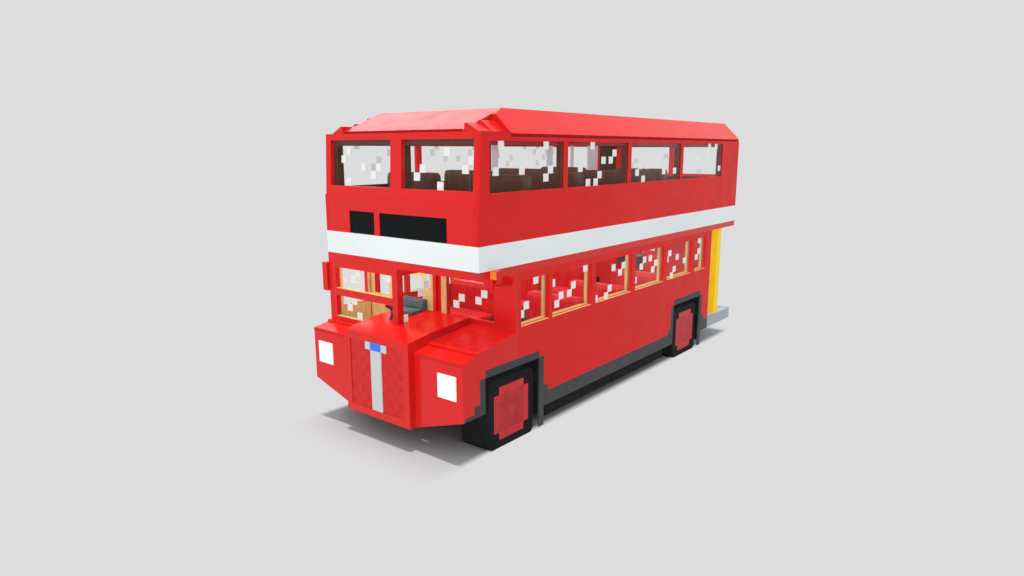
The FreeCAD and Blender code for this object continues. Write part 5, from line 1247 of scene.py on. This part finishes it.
class BUS_OT_fittings(Operator):
    """Fit the lenses, plate, mirror, strips, handles, hinges, dashboard, pole sleeve and stair rail"""

    bl_idname = "bus.fittings"
    bl_label = "Fittings"

    bar = 0.006, 10  # radius of the handles' round bars, and their sides

    def execute(self, context):
        low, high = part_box("indicator")
        edge = 0.002
        lens_block = slabs([((low[0] + edge, high[0] - edge), (low[1] - 0.004, low[1] + 0.002),
                             (low[2] + edge, high[2] - edge))])
        piece("indicator_lens", lens_block, "indicator_lens", soften=0.0015, slot="amber")
        low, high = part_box("offside_mirror")
        glass = slabs([((low[0] + 0.01, high[0] - 0.01), (high[1] - 0.001, high[1] + 0.003),
                        (low[2] + 0.02, high[2] - 0.02))])
        piece("mirror_glass", glass, "mirror", soften=0.001)
        self.strips()
        self.rear_lamps()
        self.door()
        self.exit_handle()
        self.dashboard()
        self.platform()
        return {"FINISHED"}

    def strips(self):
        """Dark red strips of painted shade: one in each of the roof's curbs and one across the foot of its
        front slope, where the roof's lip leaves a shaded recess. Also the wings' brow strips, a darker red that
        paints the shade on the face over the headlamps."""
        roof_low, roof_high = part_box("roof")
        wall, _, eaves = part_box("upper_side_nearside")[1]
        ends = roof_low[1] + 0.52, roof_high[1] - 0.01
        strips = []
        for sign in SIGNS:
            path = [(sign * (wall - 0.015), y, roof_low[2] + 0.02) for y in ends]
            strips.append(swept(moulding(0.012, 0.034), path))
        path = [(x, roof_low[1] + 0.002, eaves + 0.015) for x in (-1.08, 1.08)]
        strips.append(swept(moulding(0.01, 0.03), path))
        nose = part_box("radiator_shell")[1][0]
        brows = []
        for name, sign in SIDES:
            low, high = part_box(f"wing_{name}")
            edge = max(abs(low[0]), abs(high[0]))
            path = [(sign * x, low[1] - 0.001, 1.25) for x in (nose + 0.003, edge - 0.002)]
            brows.append(swept(moulding(0.008, 0.042), path))
        # painted shade: dark strips that stand in for the shade under the roof's lip and at the foot of its
        # front slope
        piece("roof_shade_strips", gather(strips), "shadow_red")
        # painted shade: the brow strips' darker red paints the shade on the wings' faces over the headlamps
        piece("brow_shade_strips", gather(brows), "brow_red")

    def rear_lamps(self):
        """Turned lamp lenses and a blank plate on the lower rear wall."""
        low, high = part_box("lower_rear")
        face = high[1]
        dome = [(-0.002, 0.05), (0.008, 0.05), (0.014, 0.046), (0.02, 0.034), (0.023, 0.018), (0.024, 0.004)]
        rim = [(-0.002, 0.058), (0.006, 0.058), (0.009, 0.054), (0.009, 0.051), (-0.002, 0.051)]
        places = [(x, face, z) for z in (0.95, 0.8) for x in (low[0] + 0.14, high[0] - 0.14)]
        for name, outline, spots, finish, slot in (
            ("tail_lamps", dome, places[:2], "tail_lens", None),
            ("rear_indicators", dome, places[2:], "indicator_lens", "amber"),
            ("rear_lamp_rims", rim, places, "bright_metal", None),
        ):
            turned = gather(lathe(outline, spot, Y_AXIS) for spot in spots)
            piece(name, turned, finish, smooth=True, slot=slot)
        plate = slabs([((-0.68, -0.16), (face - 0.001, face + 0.005), (0.72, 0.84))])
        piece("rear_plate", plate, "plate_white", soften=0.002)

    def door(self):
        """The cab door's hinge barrels and its pull handle."""
        low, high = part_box("cab_door")
        barrel = [(0.0, 0.006), (0.001, 0.009), (0.079, 0.009), (0.08, 0.006)]
        hinges = [lathe(barrel, (low[0] - 0.004, high[1] + 0.003, z), Z_AXIS, 14)
                  for z in (low[2] + 0.12, high[2] - 0.25)]
        piece("cab_door_hinges", gather(hinges), "bright_metal", smooth=True)
        y, z = low[1] + 0.03, low[2] + 0.22
        grip = [(low[0] - out, y, z + up) for out, up in (
            (0.0, 0.0), (0.03, 0.01), (0.034, 0.03), (0.034, 0.11), (0.03, 0.13), (0.0, 0.14))]
        piece("cab_door_handle", rod(grip, *self.bar, ALONG_Y), "bright_metal", "cab_door", smooth=True)

    def exit_handle(self):
        """The emergency window's handle: a bent round bar."""
        low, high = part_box("emergency_window")
        bar = [(x, high[1] + out, low[2] + 0.025) for x, out in (
            (-0.12, 0.0), (-0.115, 0.018), (-0.1, 0.024), (0.1, 0.024), (0.115, 0.018), (0.12, 0.0))]
        piece("emergency_handle", rod(bar, *self.bar), "bright_metal", "emergency_window", smooth=True)

    def dashboard(self):
        """The dashboard's rolled profile carried across the cab, with two turned dials."""
        left, front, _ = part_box("cab_floor")[0]
        roll = [(0.0, 1.26), (-0.05, 1.255), (-0.085, 1.27), (-0.105, 1.3), (-0.108, 1.34), (-0.09, 1.372),
                (-0.06, 1.386), (0.0, 1.39)]
        path = [(x, front + 0.004, 0) for x in (left + 0.012, -0.075)]
        piece("dashboard", swept(roll, path), "black_gloss")
        dial = [(-0.004, 0.038), (0.006, 0.038), (0.008, 0.035), (0.006, 0.032)]
        faces = [lathe(dial, (x, front + 0.112, 1.32), Y_AXIS, 32) for x in (-0.2, -0.38)]
        piece("dials", gather(faces), "bright_metal", smooth=True)

    def platform(self):
        """A sleeve with flanges and collars on the platform pole, a bright edge round the platform, and a
        stair rail."""
        low, high = (np.array(corner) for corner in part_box("platform_pole"))
        reach = np.array((0.028, 0.028, 0.0))
        # painted light: the sleeve's cover glows faintly, which lightens the pole
        piece("pole_sleeve", blocks(low - reach, high + reach), "pole_cover", soften=0.01,
              slot="yellow_paint")
        flanges = []
        for z, way in ((low[2], 1), (high[2], -1)):
            for reach, thick in ((0.05, 0.006), (0.036, 0.03)):
                flanges.append(((low[0] - reach, high[0] + reach), (low[1] - reach, high[1] + reach),
                                sorted((z, z + way * thick))))
        piece("pole_flanges", slabs(flanges), "yellow_paint", soften=0.003, slot="yellow_paint")
        low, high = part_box("platform")
        side, rear = high[0] - 0.016, high[1] - 0.016
        path = [(x, y, high[2] + 0.002) for x, y in ((side, low[1] + 0.01), (side, rear), (0.52, rear))]
        piece("platform_edge", swept(moulding(0.03, 0.006, 0.002), path), "bright_metal")
        stair_low, stair_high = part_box("staircase")
        rail = [(x, stair_low[1] + 0.03, z)
                for x, z in ((stair_high[0] - 0.02, 0.5), (stair_high[0] - 0.02, 1.3), (-0.6, 2.12))]
        piece("stair_rail", rod(rail, 0.016, 12, ALONG_Y), "yellow_paint", smooth=True, slot="yellow_paint")


class BUS_OT_running_gear(Operator):
    """Hang the propeller shaft, exhaust and fuel tank, and dress the engine"""

    bl_idname = "bus.running_gear"
    bl_label = "Running Gear"

    def execute(self, context):
        case_low, case_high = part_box("rear_axle")
        engine_low, engine_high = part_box("engine_block")
        nose = engine_high[1]
        start = np.array((0.0, nose, engine_low[2] - 0.01))
        end = np.array((0.0, case_low[1] + 0.02, (case_low[2] + case_high[2]) / 2 + 0.02))
        joint = [(-0.05, 0.02), (-0.05, 0.055), (-0.03, 0.06), (0.03, 0.06), (0.05, 0.055), (0.05, 0.02)]
        joints = [lathe(joint, start + (end - start) * share, Y_AXIS, 20) for share in (0.02, 0.5, 0.985)]
        piece("propeller_shaft", gather([rod([start, end], 0.038, 20), *joints]), "chassis")
        pipe = [(-0.25, nose - 0.1, 0.5), (-0.42, nose + 0.15, 0.47), (-0.6, nose + 0.6, 0.43),
                (-0.6, 0.9, 0.42), (-0.66, 1.12, 0.41), (-0.85, 1.24, 0.4), (-1.3, 1.28, 0.38)]
        drum = [(-0.5, 0.03), (-0.48, 0.08), (-0.45, 0.095), (0.45, 0.095), (0.48, 0.08), (0.5, 0.03)]
        silencer = lathe(drum, (-0.6, -0.35, 0.425), Y_AXIS, 28)
        piece("exhaust", gather([rod(pipe, 0.028, 16), silencer]), "exhaust_metal")
        self.tank()
        self.flaps_and_lockers()
        self.engine(engine_low, engine_high)
        return {"FINISHED"}

    def tank(self):
        """A soft-edged fuel tank held by two straps."""
        low, high, off = np.array((0.5, -0.85, 0.315)), np.array((1.05, -0.1, 0.565)), 0.003
        straps = []
        for y in (-0.68, -0.27):
            path = rounded_loop(low - off, high + off, X_AXIS, Z_AXIS, y, 0.07)
            straps.append(swept(moulding(0.006, 0.04, 0.001), path, True, ALONG_Y))
        piece("fuel_tank", pillow(low, high, 0.18, 24, 48), "chassis", smooth=True)
        piece("fuel_tank_straps", gather(straps), "bright_metal")

    def flaps_and_lockers(self):
        """A rubber flap behind each wheel, and lockers under the floor between the wheels, hung low and near
        black so that they also stand in for the deep shade under the floor.
        """
        hang, foot, clear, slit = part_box("lower_floor")[0][2], 0.1, 0.34, 0.012
        start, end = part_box("tyre_front_nearside")[1][1] + clear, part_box("tyre_rear_nearside")[0][1] - clear
        middle = (start + end) / 2
        flaps = []
        for wheel, behind in (("front", 0.3), ("rear", 0.22)):
            for side, sign in SIDES:
                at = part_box(f"tyre_{wheel}_{side}")[1][1] + behind
                flaps.append((across(sign, 0.98, 1.33), (at, at + 0.012), (0.1, 0.62)))
        piece("mud_flaps", slabs(flaps), "rubber", soften=0.002)
        # Lockers in the tyres' near-black rubber with a low foot: partly real, partly painted shade standing in
        # for the deep shade under the floor between the wheels
        lockers = [(across(sign, 1.1, 1.328), along, (foot, hang)) for sign in SIGNS
                   for along in ((start, middle - slit), (middle + slit, end))]
        piece("underfloor_shade_lockers", slabs(lockers), "rubber", soften=0.012)

    def engine(self, low, high):
        """A ribbed rocker cover with two caps, and a coolant hose over the block."""
        front, top = low[1], high[2]
        arch = np.array([(-0.09, 0.0), (-0.09, 0.035), (-0.07, 0.058), (-0.03, 0.066), (0.03, 0.066),
                         (0.07, 0.058), (0.09, 0.035), (0.09, 0.0)])
        x, start, end = 0.16, front + 0.1, high[1] - 0.08
        ribs = [swept(arch * 1.06, [(x, y, top), (x, y + 0.012, top)])
                for y in np.linspace(start + 0.03, end - 0.04, 7)]
        cover = swept(arch, [(x, start, top), (x, end, top)])
        piece("rocker_cover", gather([cover, *ribs]), "engine", slot="engine_iron")
        cap = [(0.0, 0.02), (0.012, 0.02), (0.012, 0.03), (0.02, 0.03), (0.022, 0.026), (0.022, 0.004)]
        caps = [lathe(cap, (x, y, top + 0.064), Z_AXIS, 20) for y in (start + 0.12, end - 0.2)]
        piece("filler_caps", gather(caps), "bright_metal", smooth=True)
        hose = [(0.0, front + 0.12, top - 0.02), (0.0, front + 0.06, top + 0.03), (0.02, front, top + 0.045),
                (0.04, front - 0.05, top + 0.03)]
        piece("coolant_hose", rod(hose, 0.022, 14), "rubber", smooth=True)


class BUS_OT_studio(Operator):
    """Set the floor, the lights, the background and the camera"""

    bl_idname = "bus.studio"
    bl_label = "Studio"

    reach = 120.0  # from the bus to the floor's edges
    sky_tint = (0.94, 0.975, 1.0, 1.0)
    # each sun's angle across in degrees, and where its light comes from
    key_sun = 1.5, (0.04, 0.0, 1.0)
    fill_sun = 50.0, (0.135, -0.32, 0.52)
    panel_gap = 0.03  # from a ceiling down to its lamp
    back_from, back_distance, back_size = (-0.717, 0.54, 0.436), 12, (9.0, 6.0)

    def execute(self, context):
        scene, studio = context.scene, context.scene.bus_studio
        reach = self.reach
        mesh = bpy.data.meshes.new("studio_floor")
        mesh.from_pydata([(-reach, -reach, 0), (reach, -reach, 0), (reach, reach, 0), (-reach, reach, 0)],
                         [], [(0, 1, 2, 3)])
        floor = bpy.data.objects.new("studio_floor", mesh)
        scene.collection.objects.link(floor)
        floor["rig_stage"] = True
        mesh.materials.append(self.floor_finish())
        self.surroundings(scene, studio)
        self.sun(scene, "key_sun", studio.key, *self.key_sun)
        self.sun(scene, "fill_sun", studio.fill, *self.fill_sun, self.lit_pieces())
        self.lamps(scene, studio)
        camera = bpy.data.objects.new("camera", bpy.data.cameras.new("camera"))
        camera.data.lens, camera.data.clip_end = studio.lens, 500
        level, tilt, turn = math.cos(studio.tilt), studio.tilt, studio.turn
        camera.location = studio.stand
        self.aim(camera, (math.sin(turn) * level, -math.cos(turn) * level, math.sin(tilt)))
        scene.collection.objects.link(camera)
        scene.camera = camera
        scene.view_settings.view_transform = "Standard"
        return {"FINISHED"}

    def aim(self, thing, back):
        """Turns a camera or a lamp so that it looks or shines straight away from a direction."""
        thing.rotation_mode = "QUATERNION"
        thing.rotation_quaternion = Vector(back).to_track_quat("Z", "Y")

    def floor_finish(self):
        """Matt floor that takes the shadow under the bus. Away from it the floor shows the backdrop's own
        colour."""
        made = Finish("studio_floor", {"Roughness": 1.0, "Specular IOR Level": 0.0})
        spot = made.add("TexCoord").outputs["Object"]
        size = made.add("VectorMath", {0: spot}, operation="ABSOLUTE").outputs["Vector"]
        size = made.add("SeparateXYZ", {0: size}).outputs
        beside = made.ranged(size["X"], 0, 1, *PLAIN_BESIDE)
        ahead = made.ranged(size["Y"], 0, 1, *PLAIN_AHEAD)
        both = made.add("CombineXYZ", {0: beside, 1: ahead}).outputs[0]
        far = made.add("VectorMath", {0: both}, operation="LENGTH").outputs["Value"]
        backdrop = colours().backdrop
        tints = [shaded(backdrop, FLOOR_SHARE * share) for share in (1, 1.004)]
        made.feed(made.shader, {"Base Color": made.mixed(made.patchy(spot, 3), *tints)})
        glow = made.add("Emission", {"Color": shaded(backdrop), "Strength": 1.0}).outputs[0]
        share = made.combined(far, made.add("LightPath").outputs["Is Camera Ray"])
        made.layered(share, made.shader.outputs[0], glow, made.tree.nodes["Material Output"])
        return made.material

    def surroundings(self, scene, studio):
        """An even sky, which shows as the backdrop's colour in view, in gloss and through glass."""
        scene.world = bpy.data.worlds.new("studio")
        scene.world.use_nodes = True
        made = Nodes(scene.world.node_tree)
        made.tree.nodes.clear()
        path = made.add("LightPath").outputs
        seen = made.combined(path["Is Camera Ray"], path["Is Glossy Ray"], "MAXIMUM")
        seen = made.combined(seen, path["Is Transmission Ray"], "MAXIMUM")
        sky = made.add("Background", {"Color": self.sky_tint, "Strength": studio.sky}).outputs[0]
        shown = made.add("Background", {"Color": shaded(colours().backdrop), "Strength": 1.0}).outputs[0]
        made.layered(seen, sky, shown, made.add("OutputWorld"))

    def lit_pieces(self):
        """A collection of the object's pieces, without the floor, for a light that leaves the floor
        alone."""
        group = bpy.data.collections.new("lit_pieces")
        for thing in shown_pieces():
            group.objects.link(thing)
        return group

    def lamps(self, scene, studio):
        """Soft panels: one under each ceiling, shining down, and one high behind that shows in the roof's
        gloss."""
        (_, saloon_front, _), (_, saloon_back, _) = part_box("lower_floor")
        (cab_side, cab_front, _), (_, cab_back, _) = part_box("cab_frame")
        roof_low, roof_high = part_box("roof")
        ceiling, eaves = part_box("upper_floor")[0][2] - self.panel_gap, roof_low[2] - self.panel_gap
        for name, watts, middle, wide, long in (
            ("lower_panel", studio.saloon, (0, (saloon_front + saloon_back) / 2, ceiling), 2.2, 5.2),
            ("upper_panel", studio.saloon * studio.upper_share, (0, 0.1, eaves), 2.3, 6.6),
            ("cab_panel", studio.saloon * studio.cab_share,
             (cab_side / 2, (cab_front + cab_back) / 2, ceiling), 1.0, 0.5),
        ):
            self.panel(scene, name, watts, middle, wide, long)
        far = np.array(self.back_from) * self.back_distance
        crest = np.array((0.0, roof_low[1] + 0.4, roof_high[2]))
        box = self.panel(scene, "back_panel", studio.back, crest + far, *self.back_size)
        self.aim(box, far)
        box.visible_glossy = True

    def panel(self, scene, name, watts, middle, wide, long):
        """A rectangular lamp that shines down and isn't seen itself."""
        light = bpy.data.lights.new(name, "AREA")
        light.shape, light.size, light.size_y, light.energy = "RECTANGLE", wide, long, watts
        made = bpy.data.objects.new(name, light)
        made.location = middle
        made.visible_camera = made.visible_glossy = False
        scene.collection.objects.link(made)
        return made

    def sun(self, scene, name, strength, spread, towards, receivers=None):
        """A sun whose light comes from the direction given. With receivers it falls on them alone and
        casts no shadow, and what they throw back colours nothing else."""
        light = bpy.data.lights.new(name, "SUN")
        light.energy, light.angle = strength, math.radians(spread)
        made = bpy.data.objects.new(name, light)
        self.aim(made, towards)
        if receivers:
            made.light_linking.receiver_collection = receivers
            light.cycles.max_bounces = 0
            light.use_shadow = False
        scene.collection.objects.link(made)


STEPS = (
    BUS_OT_finishes, BUS_OT_glass_marks, BUS_OT_window_trim, BUS_OT_linings, BUS_OT_saloon_seats,
    BUS_OT_driver_seat, BUS_OT_grille_and_hubs, BUS_OT_fittings, BUS_OT_running_gear, BUS_OT_studio,
)
GROUPS = {"bus_colours": BusColours, "bus_sizes": BusSizes, "bus_studio": BusStudio}


class BUS_PT_steps(Panel):
    """Lists the bus's steps in the sidebar."""

    bl_idname = "BUS_PT_steps"
    bl_label = "Double Decker Bus"
    bl_space_type = "VIEW_3D"
    bl_region_type = "UI"
    bl_category = "Bus"

    def draw(self, context):
        for step in STEPS:
            self.layout.operator(step.bl_idname)
        for name in GROUPS:
            group, box = getattr(context.scene, name), self.layout.box()
            for field in group.__annotations__:
                box.prop(group, field)


def register():
    for name, group in GROUPS.items():
        bpy.utils.register_class(group)
        setattr(bpy.types.Scene, name, PointerProperty(type=group))
    for step in (*STEPS, BUS_PT_steps):
        bpy.utils.register_class(step)


def unregister():
    for step in (BUS_PT_steps, *reversed(STEPS)):
        bpy.utils.unregister_class(step)
    for name, group in reversed(GROUPS.items()):
        delattr(bpy.types.Scene, name)
        bpy.utils.unregister_class(group)


def main():
    register()
    for step in STEPS:
        space, _, name = step.bl_idname.partition(".")
        getattr(getattr(bpy.ops, space), name)()


if __name__ == "__main__":
    main()
